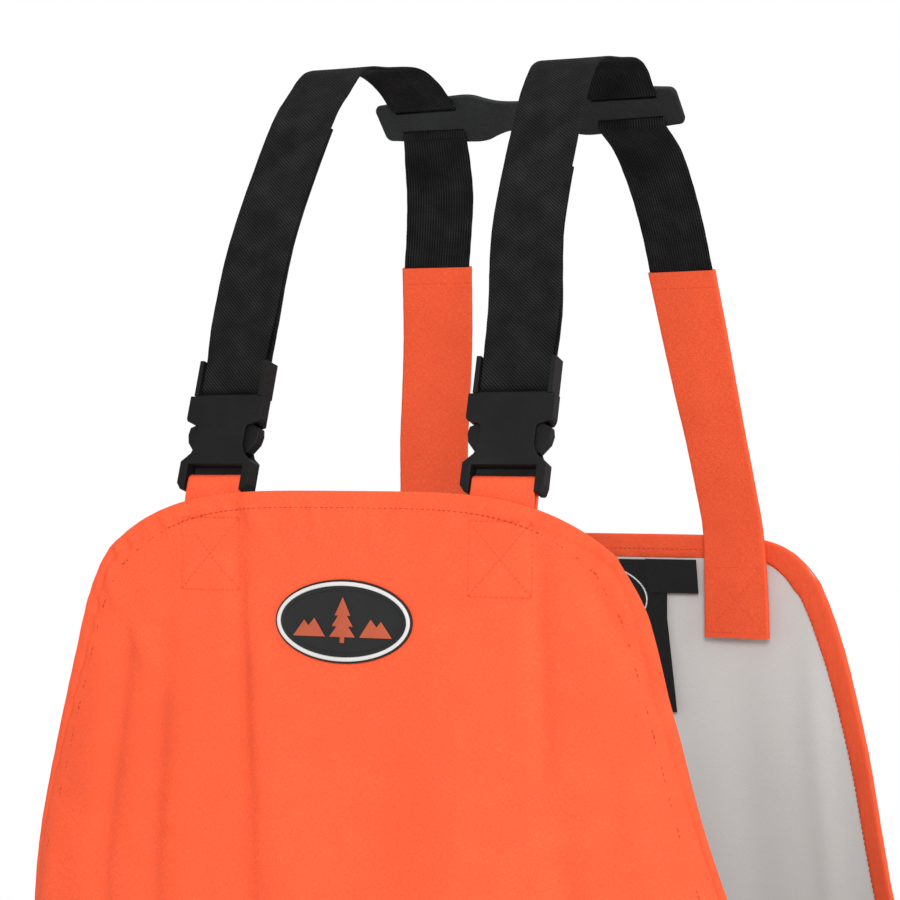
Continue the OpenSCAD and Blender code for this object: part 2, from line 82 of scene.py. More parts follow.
bib_lo, bib_hi = box_mm("bib_front_panel")
back_hi = box_mm("back_panel")[1]
cuff_lo, cuff_hi = box_mm("right_leg_cuff")
badge_lo, badge_hi = box_mm("badge_plate")
label_lo, label_hi = box_mm("neck_label")
flag_lo, flag_hi = box_mm("size_flag")
yoke_lo, yoke_hi = box_mm("back_yoke")
GAP = 0.3  # between neighbouring pieces
SEAM_GAP = 0.02  # between the two legs' cloth, where they are sewn together above the crotch
BIB_TOP, BACK_TOP = bib_hi[2], back_hi[2]
WAIST = bib_lo[2] - GAP
HEM = cuff_lo[2] - 0.5
CUFF_H = cuff_hi[2] - HEM
WAIST_HALF = bib_hi[0]
WAIST_FRONT_Y, BACK_WAIST_Y = -bib_lo[1], back_hi[1]
BIB_Y, BACK_Y = 162.0, 144.0
CLOTH_T = 1.2
TURNED_T = 2.6  # the wall and its turned edge together
HEM_W = 12.0
CROTCH, KNEE = -825.0, -1090.0
BADGE_MID = (badge_lo + badge_hi) / 2

joints = {j["name"]: j for j in frame["joints"]}
SIDES = {"left": -1, "right": 1}


# ---- small maths ----

def ramp(a, b, v):
    t = np.clip((np.asarray(v, float) - a) / (b - a), 0, 1)
    return t * t * (3 - 2 * t)


def mix(a, b, t):
    return a + (b - a) * t


def unit(v):
    return v / np.maximum(np.linalg.norm(v, axis=-1, keepdims=True), 1e-9)


def spline(points, steps):
    """Catmull-Rom curve through rows of numbers, `steps` to a stretch."""
    p = np.asarray(points, float)
    out = []
    for i in range(len(p) - 1):
        a, b, c, d = p[max(i - 1, 0)], p[i], p[i + 1], p[min(i + 2, len(p) - 1)]
        for k in range(steps):
            t = k / steps
            out.append(0.5 * (2 * b + (c - a) * t + (2 * a - 5 * b + 4 * c - d) * t * t
                              + (3 * b - a - 3 * c + d) * t ** 3))
    out.append(p[-1])
    return np.array(out)


def bump_line(x, z, start, end, width, height, fade=0.25):
    """A soft ridge (or valley, with height below 0) along the line from start to end in X and Z."""
    a, b = np.array(start, float), np.array(end, float)
    along = b - a
    length = np.linalg.norm(along)
    along = along / length
    px, pz = x - a[0], z - a[1]
    t = (px * along[0] + pz * along[1]) / length
    off = px * along[1] - pz * along[0]
    ends = ramp(-fade, fade, t) * (1 - ramp(1 - fade, 1 + fade, t))
    return height * ends * np.exp(-(off / width) ** 2)


# ---- the shape of the torso ----

EDGE = {
    -1: spline([[-600, 250], [-585, 247], [-560, 240], [-520, 228], [-465, 211], [-405, 193],
                [-355, 180], [-309, 168], [-295, 163], [-284, 157], [-273, 150]], 8),
    1: spline([[-600, 250], [-590, 246], [-565, 236], [-530, 222], [-480, 206], [-446, 199],
               [-397, 190], [-350, 177], [-320, 166], [-299, 156], [-292, 150]], 8),
}
TOP = {-1: BIB_TOP, 1: BACK_TOP}
CORNER = {-1: (32, 4), 1: (22, 9)}


def power_at(z, side):
    return mix(4.5 if side < 0 else 3.4, 2.9, ramp(-380, -600, z))


def half_w_at(z):
    return mix(WAIST_HALF - 16, WAIST_HALF, ramp(-280, -600, z))


def depth_at(z, side):
    if side < 0:
        share = np.clip((BIB_TOP - 30 - z) / (BIB_TOP - 30 - WAIST), 0, 1)
        return mix(BIB_Y, WAIST_FRONT_Y, share)
    return mix(BACK_Y, BACK_WAIST_Y, ramp(-380, -600, z))


def torso_xyz(turn, z, side, inset):
    a, b, n = half_w_at(z) - inset, depth_at(z, side) - inset, power_at(z, side)
    x = a * np.sin(turn) ** (2 / n)
    y = side * b * np.maximum(np.cos(turn), 0) ** (2 / n)
    return np.stack([x, y, np.broadcast_to(z, x.shape)], -1)


def turn_of(x, z, side):
    return np.arcsin(np.clip((x / half_w_at(z)) ** (power_at(z, side) / 2), 0, 1))


# Folds of the cloth: (start, end, width, height), in X and Z, where height is outwards.
BIB_FOLDS = [
    ((-66, -268), (-46, -520), 7.5, -3.4),
    ((-55, -275), (-33, -540), 11, 2.6),
    ((-38, -330), (-20, -560), 24, 3.0),
    ((-92, -330), (-96, -560), 18, 2.6),
    ((-112, -300), (-118, -600), 8, -2.0),
    ((-75, -470), (-62, -600), 12, -2.6),
    ((-136, -300), (-158, -520), 8, -2.4),
    ((-152, -283), (-118, -335), 6, 1.8),
    ((22, -370), (24, -600), 13, -3.0),
    ((60, -340), (66, -600), 20, 2.2),
    ((108, -258), (113, -380), 6, -2.8),
    ((122, -400), (130, -600), 11, -2.8),
    ((134, -283), (176, -345), 6, -2.6),
    ((160, -390), (186, -560), 10, 2.0),
    ((-185, -420), (-215, -560), 10, 2.0),
    ((-60, -246), (-42, -274), 4, 1.1),
    ((60, -247), (46, -278), 4, 1.0),
    ((-20, -246), (-17, -268), 3, 0.6),
    ((14, -246), (15, -266), 3, 0.6),
]
BACK_FOLDS = [
    ((100, -345), (112, -560), 16, 1.6),
    ((150, -330), (165, -520), 10, -1.4),
    ((-100, -345), (-96, -560), 16, 1.8),
    ((-150, -330), (-170, -520), 10, -1.4),
    ((0, -380), (6, -600), 24, 2.0),
    ((52, -400), (60, -600), 10, -1.6),
    ((-50, -420), (-44, -600), 10, -1.4),
]


def panel_relief(x, z, side):
    total = 0
    for start, end, width, height in (BIB_FOLDS if side < 0 else BACK_FOLDS):
        total = total + bump_line(x, z, start, end, width, height)
    slow = np.sin(x / 37 + z / 90 + side) * np.sin(z / 61 - x / 140)
    total = total + 0.9 * slow * ramp(TOP[side] - 5, TOP[side] - 90, z)
    if side < 0:
        from_badge = np.hypot((x - BADGE_MID[0]) / 44, (z - BADGE_MID[2]) / 25)
        total = total * ramp(0.95, 1.5, from_badge)
    return total


def panel_xyz(s, v, side, inset, trim=0.0):
    """A point of a panel: s from -1 to 1 across it, v from 0 at its top to 1 at the waist."""
    drop, late = CORNER[side]
    z_edge = mix(TOP[side] - drop, WAIST, v)
    half = np.interp(z_edge, EDGE[side][:, 0], EDGE[side][:, 1]) - trim
    z_top = TOP[side] - trim * 0.8 - drop * np.abs(s) ** late
    z = mix(z_top, WAIST, v)
    turn = turn_of(half, z_edge, side) * np.abs(s)
    even = torso_xyz(turn_of(half * np.abs(s), z, side), z, side, inset)
    round_it = torso_xyz(turn, z, side, inset)
    p = mix(even, round_it, ramp(0, 0.5, v)[..., None])
    p[..., 0] *= np.where(s < 0, -1, 1)
    return p


def edge_gap(s, v, side):
    """How far a panel's point is from its edge, in millimetres, by its place in the grid."""
    drop, late = CORNER[side]
    z_edge = mix(TOP[side] - drop, WAIST, v)
    half = np.interp(z_edge, EDGE[side][:, 0], EDGE[side][:, 1])
    height = TOP[side] - WAIST - drop * np.abs(s) ** late
    slope = np.hypot(1, drop * late * np.abs(s) ** (late - 1) / half)
    return np.minimum((1 - np.abs(s)) * half, v * height / slope)


def pucker(x, z, gap, side):
    """Small gathers beside the hem's stitch line, deepest at the rounded corners."""
    run = 0.9 * np.abs(x) - 0.6 * z
    wave = np.sin(run / 2.0) + 0.6 * np.sin(run / 3.6 + 1.3) + 0.5 * np.sin(run / 1.5 + 2)
    near = np.exp(-((gap - 0.8 * HEM_W) / 6.5) ** 2)
    groove = np.exp(-((gap - STITCH_IN[side]) / 1.8) ** 2)
    corner = 0.35 + 0.65 * np.exp(-((np.abs(x) - 145) / 55) ** 2 - ((z - TOP[side] + 35) / 55) ** 2)
    return np.maximum(0.6 * wave * near * corner - 0.65 * groove, -1.1)


STITCH_IN = {-1: 10.8, 1: 11.2}


def panel_surface(s, v, side, inset, trim=0.0, deepest=None):
    s, v = np.broadcast_arrays(np.asarray(s, float), np.asarray(v, float))
    flat = panel_xyz(s, v, side, 0.0, trim)
    lift = panel_relief(flat[..., 0], flat[..., 2], side)
    if trim == 0.0:
        gathers = pucker(flat[..., 0], flat[..., 2], edge_gap(s, v, side), side)
        lift = lift + (gathers if deepest is None else np.maximum(gathers, deepest))
    lift = lift + 0.9 * ramp(0.972, 0.985, v)
    return panel_xyz(s, v, side, inset - lift, trim)


def frames_of(surface, a, b, eps=(2e-3, 2e-3)):
    """Points of a surface and its outward unit normals, by small steps."""
    p = surface(a, b)
    da = surface(a + eps[0], b) - surface(a - eps[0], b)
    db = surface(a, b + eps[1]) - surface(a, b - eps[1])
    n = unit(np.cross(da, db))
    out = p.copy()
    out[..., 2] = 0
    n *= np.where(np.sum(n * out, -1, keepdims=True) < 0, -1, 1)
    return p, n


# ---- meshes ----

def new_object(name, mesh, materials):
    obj = bpy.data.objects.new(name, mesh)
    bpy.context.scene.collection.objects.link(obj)
    for m in materials:
        mesh.materials.append(m)
    return obj


def finish_mesh(mesh, smooth_angle=40):
    bm = bmesh.new()
    bm.from_mesh(mesh)
    bmesh.ops.remove_doubles(bm, verts=bm.verts, dist=1e-6)
    bmesh.ops.recalc_face_normals(bm, faces=bm.faces)
    bm.to_mesh(mesh)
    bm.free()
    mesh.shade_smooth()
    mesh.set_sharp_from_angle(angle=math.radians(smooth_angle))
    mesh.update()


def layered(name, front, back, u, v, materials, closed=False, smooth_angle=40, rim=0):
    """A closed sheet between two grids of points in millimetres. Material 0 is on the front, 1 on the
    back and `rim` round its edge. u and v are the cloth's own coordinates, in millimetres."""
    rows, cols = front.shape[:2]
    verts = np.concatenate([front.reshape(-1, 3), back.reshape(-1, 3)]) * MM
    n = rows * cols
    index = np.arange(n).reshape(rows, cols)
    right = np.roll(index, -1, 1)
    a, b = index[:-1, :], index[1:, :]
    ar, br = right[:-1, :], right[1:, :]
    if not closed:
        a, b, ar, br = a[:, :-1], b[:, :-1], ar[:, :-1], br[:, :-1]
    faces = np.stack([a, ar, br, b], -1).reshape(-1, 4)
    both = [faces, faces[:, ::-1] + n]
    kinds = [np.zeros(len(faces), int), np.full(len(faces), min(1, len(materials) - 1))]
    rims = []
    for line in (index[0], index[-1]):
        if closed:
            line = np.append(line, line[0])
        rims.append(np.stack([line[:-1], line[1:], line[1:] + n, line[:-1] + n], -1))
    if not closed:
        for line in (index[:, 0], index[:, -1]):
            rims.append(np.stack([line[:-1], line[1:], line[1:] + n, line[:-1] + n], -1))
    rims = np.concatenate(rims)
    both.append(rims)
    kinds.append(np.full(len(rims), rim))
    everything = np.concatenate(both)
    mesh = bpy.data.meshes.new(name)
    mesh.from_pydata(verts.tolist(), [], everything.tolist())
    mesh.polygons.foreach_set("material_index", np.concatenate(kinds).astype(np.int32))
    layer = mesh.uv_layers.new(name="cloth")
    uv = np.tile(np.stack([u, v], -1).reshape(-1, 2), (2, 1)) * MM
    loops = np.zeros(len(mesh.loops), np.int32)
    mesh.loops.foreach_get("vertex_index", loops)
    layer.data.foreach_set("uv", uv[loops].astype(np.float32).ravel())
    obj = new_object(name, mesh, materials)
    finish_mesh(mesh, smooth_angle)
    return obj


def arc(points, axis):
    """Running length of a grid of points along an axis."""
    steps = np.linalg.norm(np.diff(points, axis=axis), axis=-1)
    pad = [(0, 0), (0, 0)]
    pad[axis] = (1, 0)
    return np.cumsum(np.pad(steps, pad), axis=axis)


def rounded(gap, radius):
    """Half thickness share at a distance from the edge: 0 at the edge and 1 past the radius."""
    t = np.clip(gap / radius, 0, 1)
    return np.sqrt(1 - (1 - t) ** 2)


def edge_spread(core, near):
    """Places from -1 to 1 with extra ones close to both ends; near are shares of the half width."""
    middle = np.linspace(-1 + near[-1], 1 - near[-1], core)
    left = -1 + np.array(near[:-1])
    return np.concatenate([left, middle, -left[::-1]])


def along_run(rows, run, at):
    """Rows of numbers given at the lengths run, read off at the lengths at."""
    return np.stack([np.interp(at, run, column) for column in rows.T], -1)


def stitches(name, lines, material, pitch=3.1, length=2.3, width=0.62, rise=0.3):
    """Rows of sewn stitches: each line is (points, normals), and each stitch a small raised grain."""
    ring = 6
    along = np.array([-1, -0.82, -0.35, 0.35, 0.82, 1])
    fat = np.array([0.05, 0.62, 1, 1, 0.62, 0.05])
    turn = np.arange(ring) * 2 * np.pi / ring
    verts, faces = [], []
    for points, normals in lines:
        run = np.concatenate([[0], np.cumsum(np.linalg.norm(np.diff(points, axis=0), axis=1))])
        count = int(run[-1] // pitch)
        if count < 1:
            continue
        mids = (np.arange(count) + 0.5) * run[-1] / count
        at = along_run(points, run, mids)
        nrm = unit(along_run(normals, run, mids))
        tan = unit(along_run(points, run, mids + 0.5) - along_run(points, run, mids - 0.5))
        side = unit(np.cross(nrm, tan))
        for p, n, t, c in zip(at, nrm, tan, side):
            base = len(verts)
            for l, f in zip(along, fat):
                for w in turn:
                    verts.append(p + t * l * length / 2 + c * np.cos(w) * f * width / 2
                                 + n * (np.sin(w) * f * rise + rise * 0.25))
            for i in range(len(along) - 1):
                for k in range(ring):
                    m = (k + 1) % ring
                    faces.append([base + i * ring + k, base + i * ring + m,
                                  base + (i + 1) * ring + m, base + (i + 1) * ring + k])
            faces.append([base + k for k in range(ring)][::-1])
            faces.append([base + (len(along) - 1) * ring + k for k in range(ring)])
    mesh = bpy.data.meshes.new(name)
    mesh.from_pydata((np.array(verts) * MM).tolist(), [], faces)
    mesh.shade_smooth()
    return new_object(name, mesh, [material])


# ---- materials ----

class Tree:
    """Short forms for building one material's nodes."""

    def __init__(self, name):
        self.material = bpy.data.materials.new(name)
        self.material.use_nodes = True
        self.nodes = self.material.node_tree.nodes
        self.links = self.material.node_tree.links
        self.shader = self.nodes["Principled BSDF"]

    def add(self, kind, props=None, **sockets):
        node = self.nodes.new(kind)
        for key, value in (props or {}).items():
            setattr(node, key, value)
        for key, value in sockets.items():
            socket = node.inputs[int(key[1:])] if key[0] == "i" and key[1:].isdigit() else node.inputs[key]
            if isinstance(value, bpy.types.NodeSocket):
                self.links.new(value, socket)
            else:
                socket.default_value = value
        return node.outputs[0]

    def math(self, operation, a, b=0.0):
        return self.add("ShaderNodeMath", {"operation": operation}, i0=a, i1=b)

    def noise(self, where, scale, detail=2.0, rough=0.5):
        return self.add("ShaderNodeTexNoise", None, Vector=where, Scale=scale, Detail=detail,
                        Roughness=rough)

    def stretched(self, where, scale):
        return self.add("ShaderNodeMapping", None, Vector=where, Scale=scale)

    def place(self):
        return self.add("ShaderNodeTexCoord").node.outputs["Object"]

    def cloth_uv(self):
        return self.add("ShaderNodeUVMap", {"uv_map": "cloth"})

    def ramp(self, value, stops):
        out = self.add("ShaderNodeValToRGB", None, Fac=value)
        elements = out.node.color_ramp.elements
        while len(elements) < len(stops):
            elements.new(0.5)
        for e, (at, colour) in zip(elements, stops):
            e.position = at
            e.color = (*colour, 1)
        return out

    def colour(self, socket):
        self.links.new(socket, self.shader.inputs["Base Color"])

    def rough(self, socket, low, high):
        out = self.add("ShaderNodeMapRange", None, Value=socket)
        out.node.inputs["To Min"].default_value = low
        out.node.inputs["To Max"].default_value = high
        self.links.new(out, self.shader.inputs["Roughness"])

    def bump(self, height, strength, distance):
        out = self.add("ShaderNodeBump", None, Strength=strength, Distance=distance, Height=height)
        self.links.new(out, self.shader.inputs["Normal"])

    def set(self, **values):
        for key, value in values.items():
            self.shader.inputs[key.replace("_", " ")].default_value = value
        return self.material


def tint(colour, share):
    return tuple(min(1.0, c * share) for c in colour)


def coated_cloth(name, colour, dark, light, weave=1.0, roughness=(0.62, 0.8), coarse=0.05):
    """A fine plain weave with a matte coating, with its threads, slubs and a slow drift of shade."""
    t = Tree(name)
    uv = t.cloth_uv()
    warp = t.noise(t.stretched(uv, (1900.0, 420.0, 1.0)), 1.0, 1.5)
    weft = t.noise(t.stretched(uv, (420.0, 1900.0, 1.0)), 1.0, 1.5)
    threads = t.math("MULTIPLY", t.math("ADD", warp, weft), 0.5)
    slow = t.noise(t.place(), 7.0, 3.0, 0.55)
    blotch = t.noise(t.place(), 60.0, 2.0)
    shade = t.math("ADD", t.math("MULTIPLY", threads, 0.66),
                   t.math("ADD", t.math("MULTIPLY", slow, 0.22), t.math("MULTIPLY", blotch, 0.12)))
    t.colour(t.ramp(shade, [(0.36, tint(colour, dark)), (0.5, colour), (0.64, tint(colour, light))]))
    t.rough(threads, roughness[0], roughness[1])
    t.bump(t.math("ADD", threads, t.math("MULTIPLY", blotch, coarse)), 0.55 * weave, 0.0008)
    return t.set(Specular_IOR_Level=0.18)


def thread(name, colour):
    t = Tree(name)
    where = t.place()
    twist = t.noise(t.stretched(where, (900.0, 900.0, 2400.0)), 1.0, 1.0)
    t.colour(t.ramp(twist, [(0.3, tint(colour, 0.8)), (0.7, tint(colour, 1.12))]))
    t.rough(twist, 0.5, 0.7)
    t.bump(twist, 0.4, 0.0002)
    return t.set(Specular_IOR_Level=0.3)


def elastic(name, twill):
    """Woven elastic: slanting ribs on its outer face, lengthwise ones on its inner face, with painted shade
    in the grooves between the ribs and painted light on their ridges.
    """
    t = Tree(name)
    uv = t.cloth_uv()
    split = t.add("ShaderNodeSeparateXYZ", None, Vector=uv)
    u, v = split.node.outputs[0], split.node.outputs[1]
    cross = t.math("SINE", t.math("MULTIPLY", v, 2 * math.pi / 0.00085))
    if twill:
        slant = t.math("ADD", t.math("MULTIPLY", u, 2 * math.pi / 0.0021),
                       t.math("MULTIPLY", v, 2 * math.pi / 0.0019))
        rib = t.math("SINE", slant)
        height = t.math("ADD", t.math("MULTIPLY", rib, 0.62), t.math("MULTIPLY", cross, 0.22))
    else:
        rib = t.math("SINE", t.math("MULTIPLY", u, 2 * math.pi / 0.00165))
        height = t.math("ADD", t.math("MULTIPLY", rib, 0.62), t.math("MULTIPLY", cross, 0.3))
    fuzz = t.noise(t.stretched(uv, (1400.0, 2600.0, 1.0)), 1.0, 2.0)
    patch = t.noise(uv, 55.0, 3.0)
    height = t.math("ADD", height, t.math("MULTIPLY", fuzz, 0.8))
    # Painted shade and light: the colour follows the ribs' height, dark in the grooves and light on the
    # ridges, with random patches of tone on top.
    shade = t.math("ADD", t.math("MULTIPLY", height, 0.22), t.math("MULTIPLY", patch, 0.5))
    t.colour(t.ramp(shade, [(0.12, (0.0008, 0.0008, 0.0009)), (0.36, (0.0068, 0.0068, 0.007)),
                            (0.6, (0.028, 0.028, 0.0285))]))
    t.rough(fuzz, 0.7, 0.9)
    t.bump(height, 0.8, 0.00045)
    return t.set(Specular_IOR_Level=0.14)


def moulded(name, colour, grain, strength, roughness, vary=0.12, shine=0.3):
    """Moulded plastic: fine grain, faint flow marks, and a colour that is lighter where the grain is proud.
    """
    t = Tree(name)
    where = t.place()
    fine = t.noise(where, grain, 3.0, 0.6)
    cells = t.add("ShaderNodeTexVoronoi", None, Vector=where, Scale=grain * 0.8)
    slow = t.noise(where, 45.0, 3.0)
    shade = t.math("ADD", t.math("MULTIPLY", fine, 0.5), t.math("MULTIPLY", slow, 0.5))
    t.colour(t.ramp(shade, [(0.35, tint(colour, 1 - vary)), (0.5, colour),
                            (0.68, tint(colour, 1 + 2.2 * vary))]))
    t.rough(slow, roughness - 0.06, roughness + 0.08)
    t.bump(t.math("ADD", fine, t.math("MULTIPLY", cells, 0.6)), strength, 0.0003)
    return t.set(Specular_IOR_Level=shine)


def woven_label(name, colour):
    t = Tree(name)
    uv = t.place()
    split = t.add("ShaderNodeSeparateXYZ", None, Vector=uv)
    rows = t.math("SINE", t.math("MULTIPLY", split.node.outputs[2], 2 * math.pi / 0.0006))
    fine = t.noise(t.stretched(uv, (700.0, 700.0, 2600.0)), 1.0, 2.0)
    height = t.math("ADD", t.math("MULTIPLY", rows, 0.3), fine)
    t.colour(t.ramp(fine, [(0.35, tint(colour, 0.75)), (0.65, tint(colour, 1.3))]))
    t.rough(fine, 0.42, 0.6)
    t.bump(height, 0.35, 0.0003)
    return t.set(Specular_IOR_Level=0.25)


def felt(name, colour):
    t = Tree(name)
    where = t.place()
    fibre = t.noise(t.stretched(where, (260.0, 260.0, 900.0)), 1.0, 5.0, 0.7)
    t.colour(t.ramp(fibre, [(0.3, tint(colour, 0.82)), (0.7, tint(colour, 1.05))]))
    t.rough(fibre, 0.85, 0.95)
    t.bump(fibre, 0.8, 0.002)
    return t.set(Specular_IOR_Level=0.1, Sheen_Weight=0.3)


ORANGE = (0.87, 0.1, 0.0345)
MAT = {
    "cloth": coated_cloth("orange_cloth", ORANGE, 0.86, 1.35),
    "facing": coated_cloth("orange_facing", ORANGE, 0.85, 1.3),
    "coat": coated_cloth("grey_coating", (0.64, 0.62, 0.605), 0.96, 1.03, 0.55, (0.45, 0.6), 0.3),
    "thread": thread("orange_thread", (0.78, 0.088, 0.031)),
    # The hem's thread is painted much darker than the cloth: painted shade of the groove that it lies in.
    "hem_thread_with_painted_shade": thread("orange_thread_painted_groove_shade", (0.5, 0.053, 0.019)),
    "twill": elastic("elastic_twill_face", True),
    "rib": elastic("elastic_ribbed_face", False),
    "plastic": moulded("buckle_plastic", (0.0066, 0.0063, 0.0064), 1500.0, 0.45, 0.5, vary=0.25,
                       shine=0.17),
    "yoke": moulded("yoke_plastic", (0.0128, 0.0146, 0.0152), 900.0, 1.1, 0.58, vary=0.3),
    "rubber": moulded("badge_rubber", (0.011, 0.0113, 0.0118), 2200.0, 0.12, 0.55),
    "ring": moulded("badge_ring", (0.62, 0.615, 0.6), 1800.0, 0.1, 0.4, 0.04),
    "mark": moulded("badge_mark", (0.42, 0.082, 0.036), 1800.0, 0.15, 0.45, 0.1),
    "label": woven_label("label_weave", (0.0075, 0.0075, 0.0078)),
    "print": woven_label("label_print", (0.62, 0.62, 0.61)),
    "felt": felt("pad_felt", (0.72, 0.7, 0.62)),
    "lining": coated_cloth("pad_lining_cloth", (0.5, 0.49, 0.475), 0.95, 1.04, 0.8),
}


def done(obj, body="garment", replaces=()):
    """Gives a piece its body and hides the CAD nodes that it stands for."""
    if body:
        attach(obj, body)
    if replaces:
        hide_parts(*replaces)
    return obj


# ---- bib and back panel ----

NEAR_EDGE = [0, 0.0016, 0.005, 0.012, 0.022, 0.034, 0.045, 0.054, 0.062, 0.07, 0.08, 0.092]


def panel_grid():
    s = edge_spread(150, NEAR_EDGE)
    v = np.concatenate([np.array(NEAR_EDGE) * 0.42, np.linspace(0.045, 1, 118)])
    return np.meshgrid(s, v)


def make_panel(name, node, side):
    s, v = panel_grid()
    gap = edge_gap(s, v, side)
    bottom = (1 - v) * (TOP[side] - WAIST)
    full = rounded(np.minimum(gap, bottom + 0.4), 1.0)
    outer = panel_surface(s, v, side, CLOTH_T * (1 - full) * 0.9)
    inner = panel_surface(s, v, side, CLOTH_T, deepest=-0.1)
    mid = panel_xyz(s, v, side, 0.0)
    across = arc(mid, 1)
    u = across - across[:, -1:] / 2
    obj = layered(name, outer, inner, u, arc(mid, 0), [MAT["cloth"], MAT["coat"]])
    done(obj, "garment", [node])
    return obj, across[-1, -1] * MM, (TOP[side] - WAIST) * MM


RIM_STEPS = 140


def rim_path(low):
    """Shares (s, v) along a panel's edge: up one side from v = low, across the top and down again."""
    up = np.linspace(low, 0, RIM_STEPS)
    s = np.concatenate([np.full(RIM_STEPS, -1.0), np.linspace(-1, 1, RIM_STEPS)[1:-1],
                        np.full(RIM_STEPS, 1.0)])
    v = np.concatenate([up, np.zeros(RIM_STEPS - 2), up[::-1]])
    return s, v


STITCH_RISE = 0.25  # how far the hem's thread stands out of its groove


def rim_line(side, trim, inset, inner=False):
    """Points and normals along a panel's edge, trim inside it."""
    s, v = rim_path(0.97)
    flat = panel_xyz(s, v, side, 0.0, trim)
    lift = panel_relief(flat[..., 0], flat[..., 2], side)
    if not inner:
        lift = lift + pucker(flat[..., 0], flat[..., 2], STITCH_IN[side], side) + STITCH_RISE
    p = panel_xyz(s, v, side, inset - lift, trim)
    deep = panel_xyz(s, v, side, inset - lift + 1.0, trim)
    n = unit(p - deep)
    return p, (-n if inner else n)


FACING_EXTRA = {-1: 0.0, 1: 0.48}  # how much wider the back's turned edge is along its top


FACING_T = 1.15
# The folded strip's rows of points, as distances inside the panel's edge.
FACING_ROWS = np.array([0.0, 0.35, 0.9, 1.8, 3.2, 5, 7, 8.6, 9.6, 10.2, 10.8, 11.3, 11.7, 12.0])


def make_facing(name, node, side):
    """The turned edge on a panel's inside: a folded strip, puckered along its stitching."""
    free_edge = rounded(HEM_W - FACING_ROWS + 0.05, 0.8)
    fold = rounded(FACING_ROWS + 0.02, 1.3)
    near_inset = CLOTH_T - 0.08
    s, v = rim_path(0.985)
    widen = 1 + FACING_EXTRA[side] * np.exp(-(np.abs(s) / 0.8) ** 8) * (v == 0)
    rows_near, rows_far, runs = [], [], []
    for row, round_off in zip(FACING_ROWS, np.minimum(free_edge, fold)):
        trim = row * widen
        flat = panel_xyz(s, v, side, 0.0, trim)
        run = np.concatenate([[0], np.cumsum(np.linalg.norm(np.diff(flat, axis=0), axis=1))])
        lift = panel_relief(flat[..., 0], flat[..., 2], side)
        wave = 0.06 * (np.sin(run / 2.3) + 0.6 * np.sin(run / 4.1 + 1)) * ramp(2, 9, row)
        groove = 0.35 * math.exp(-((row - STITCH_IN[side]) / 0.7) ** 2)
        swell = 0.25 * math.sin(math.pi * min(row, 10) / 10)
        thick = np.maximum(FACING_T * round_off + wave + swell - groove, 0.12)
        rows_near.append(panel_xyz(s, v, side, near_inset - lift, trim))
        rows_far.append(panel_xyz(s, v, side, near_inset - lift + thick, trim))
        runs.append(run)
    v = np.array(runs)
    u = FACING_ROWS[:, None] * np.ones_like(v)
    obj = layered(name, np.array(rows_far), np.array(rows_near), u, v, [MAT["facing"]], smooth_angle=60)
    return done(obj, "garment", [node])


for side, label, node in ((-1, "bib", "bib_front_panel"), (1, "back", "back_panel")):
    cloth, width, height = make_panel(f"{label}_cloth", node, side)
    facing = make_facing(f"{label}_turned_edge", f"{label}_edge_facing", side)
    outside = rim_line(side, STITCH_IN[side], 0.0)
    inside = rim_line(side, STITCH_IN[side], CLOTH_T + FACING_T - 0.1, inner=True)
    seam = stitches(f"{label}_hem_stitches", [outside, inside], MAT["hem_thread_with_painted_shade"], width=0.66)
    done(seam)


def wall_point(x, z, side, inset=0.0):
    """A point of a panel's wall at a given X and Z."""
    x, z = np.broadcast_arrays(np.asarray(x, float), np.asarray(z, float))
    lift = panel_relief(x, z, side)
    p = torso_xyz(turn_of(np.abs(x), z, side), z, side, inset - lift)
    p[..., 0] = np.where(x < 0, -p[..., 0], p[..., 0])
    return p


def wall_line(a, b, side, inset, n=40, inner=False):
    t = np.linspace(0, 1, n)
    x, z = mix(a[0], b[0], t), mix(a[1], b[1], t)
    p = wall_point(x, z, side, inset)
    normal = np.tile([0.0, float(side), 0.0], (n, 1))
    return p, (-normal if inner else normal)


def cross_box(corners):
    """The sides of a sewn box and its diagonals, from its four corners."""
    a, b, c, d = corners
    return [(a, b), (b, c), (c, d), (d, a), (a, c), (b, d)]


# Front: the tabs are sewn behind the bib, and their crossed boxes show on its face.
tab_lo, tab_hi = box_mm("right_buckle_tab")
TAB_X = (tab_lo[0] + tab_hi[0]) / 2
TAB_HALF = 17.5
TAB_BOX_TOP = BIB_TOP - 14.5
TAB_BOX_LOW = tab_lo[2] + 0.5
TAB_SHIFT = 2.8  # both boxes lie a little towards the right brace
lines = []
for sign in (-1, 1):
    box_x = sign * TAB_X + TAB_SHIFT
    corners = [(box_x - TAB_HALF, TAB_BOX_TOP), (box_x + TAB_HALF, TAB_BOX_TOP),
               (box_x + TAB_HALF, TAB_BOX_LOW), (box_x - TAB_HALF, TAB_BOX_LOW)]
    lines += [wall_line(a, b, -1, 0.1) for a, b in cross_box(corners)]
done(stitches("bib_tab_stitches", lines, MAT["thread"], pitch=2.7, length=2.1))


# ---- legs ----

LEG_ROUND = 350.0  # about the way round one half of a leg
# height, middle of the leg in X, and its half width and half depth there
LEG_SIZE = {"thigh": (CROTCH, 124.3, 124.0, 134.0), "knee": (KNEE, 141.0, 101.0, 103.0),
            "ankle": (HEM, 150.0, 89.0, 88.0)}


def leg_size(z, k):
    thigh, knee, ankle = LEG_SIZE["thigh"], LEG_SIZE["knee"], LEG_SIZE["ankle"]
    upper = mix(knee[k], thigh[k], ramp(knee[0], thigh[0], z))
    lower = mix(ankle[k], knee[k], ramp(ankle[0], knee[0], z))
    return np.where(z > knee[0], upper, lower)


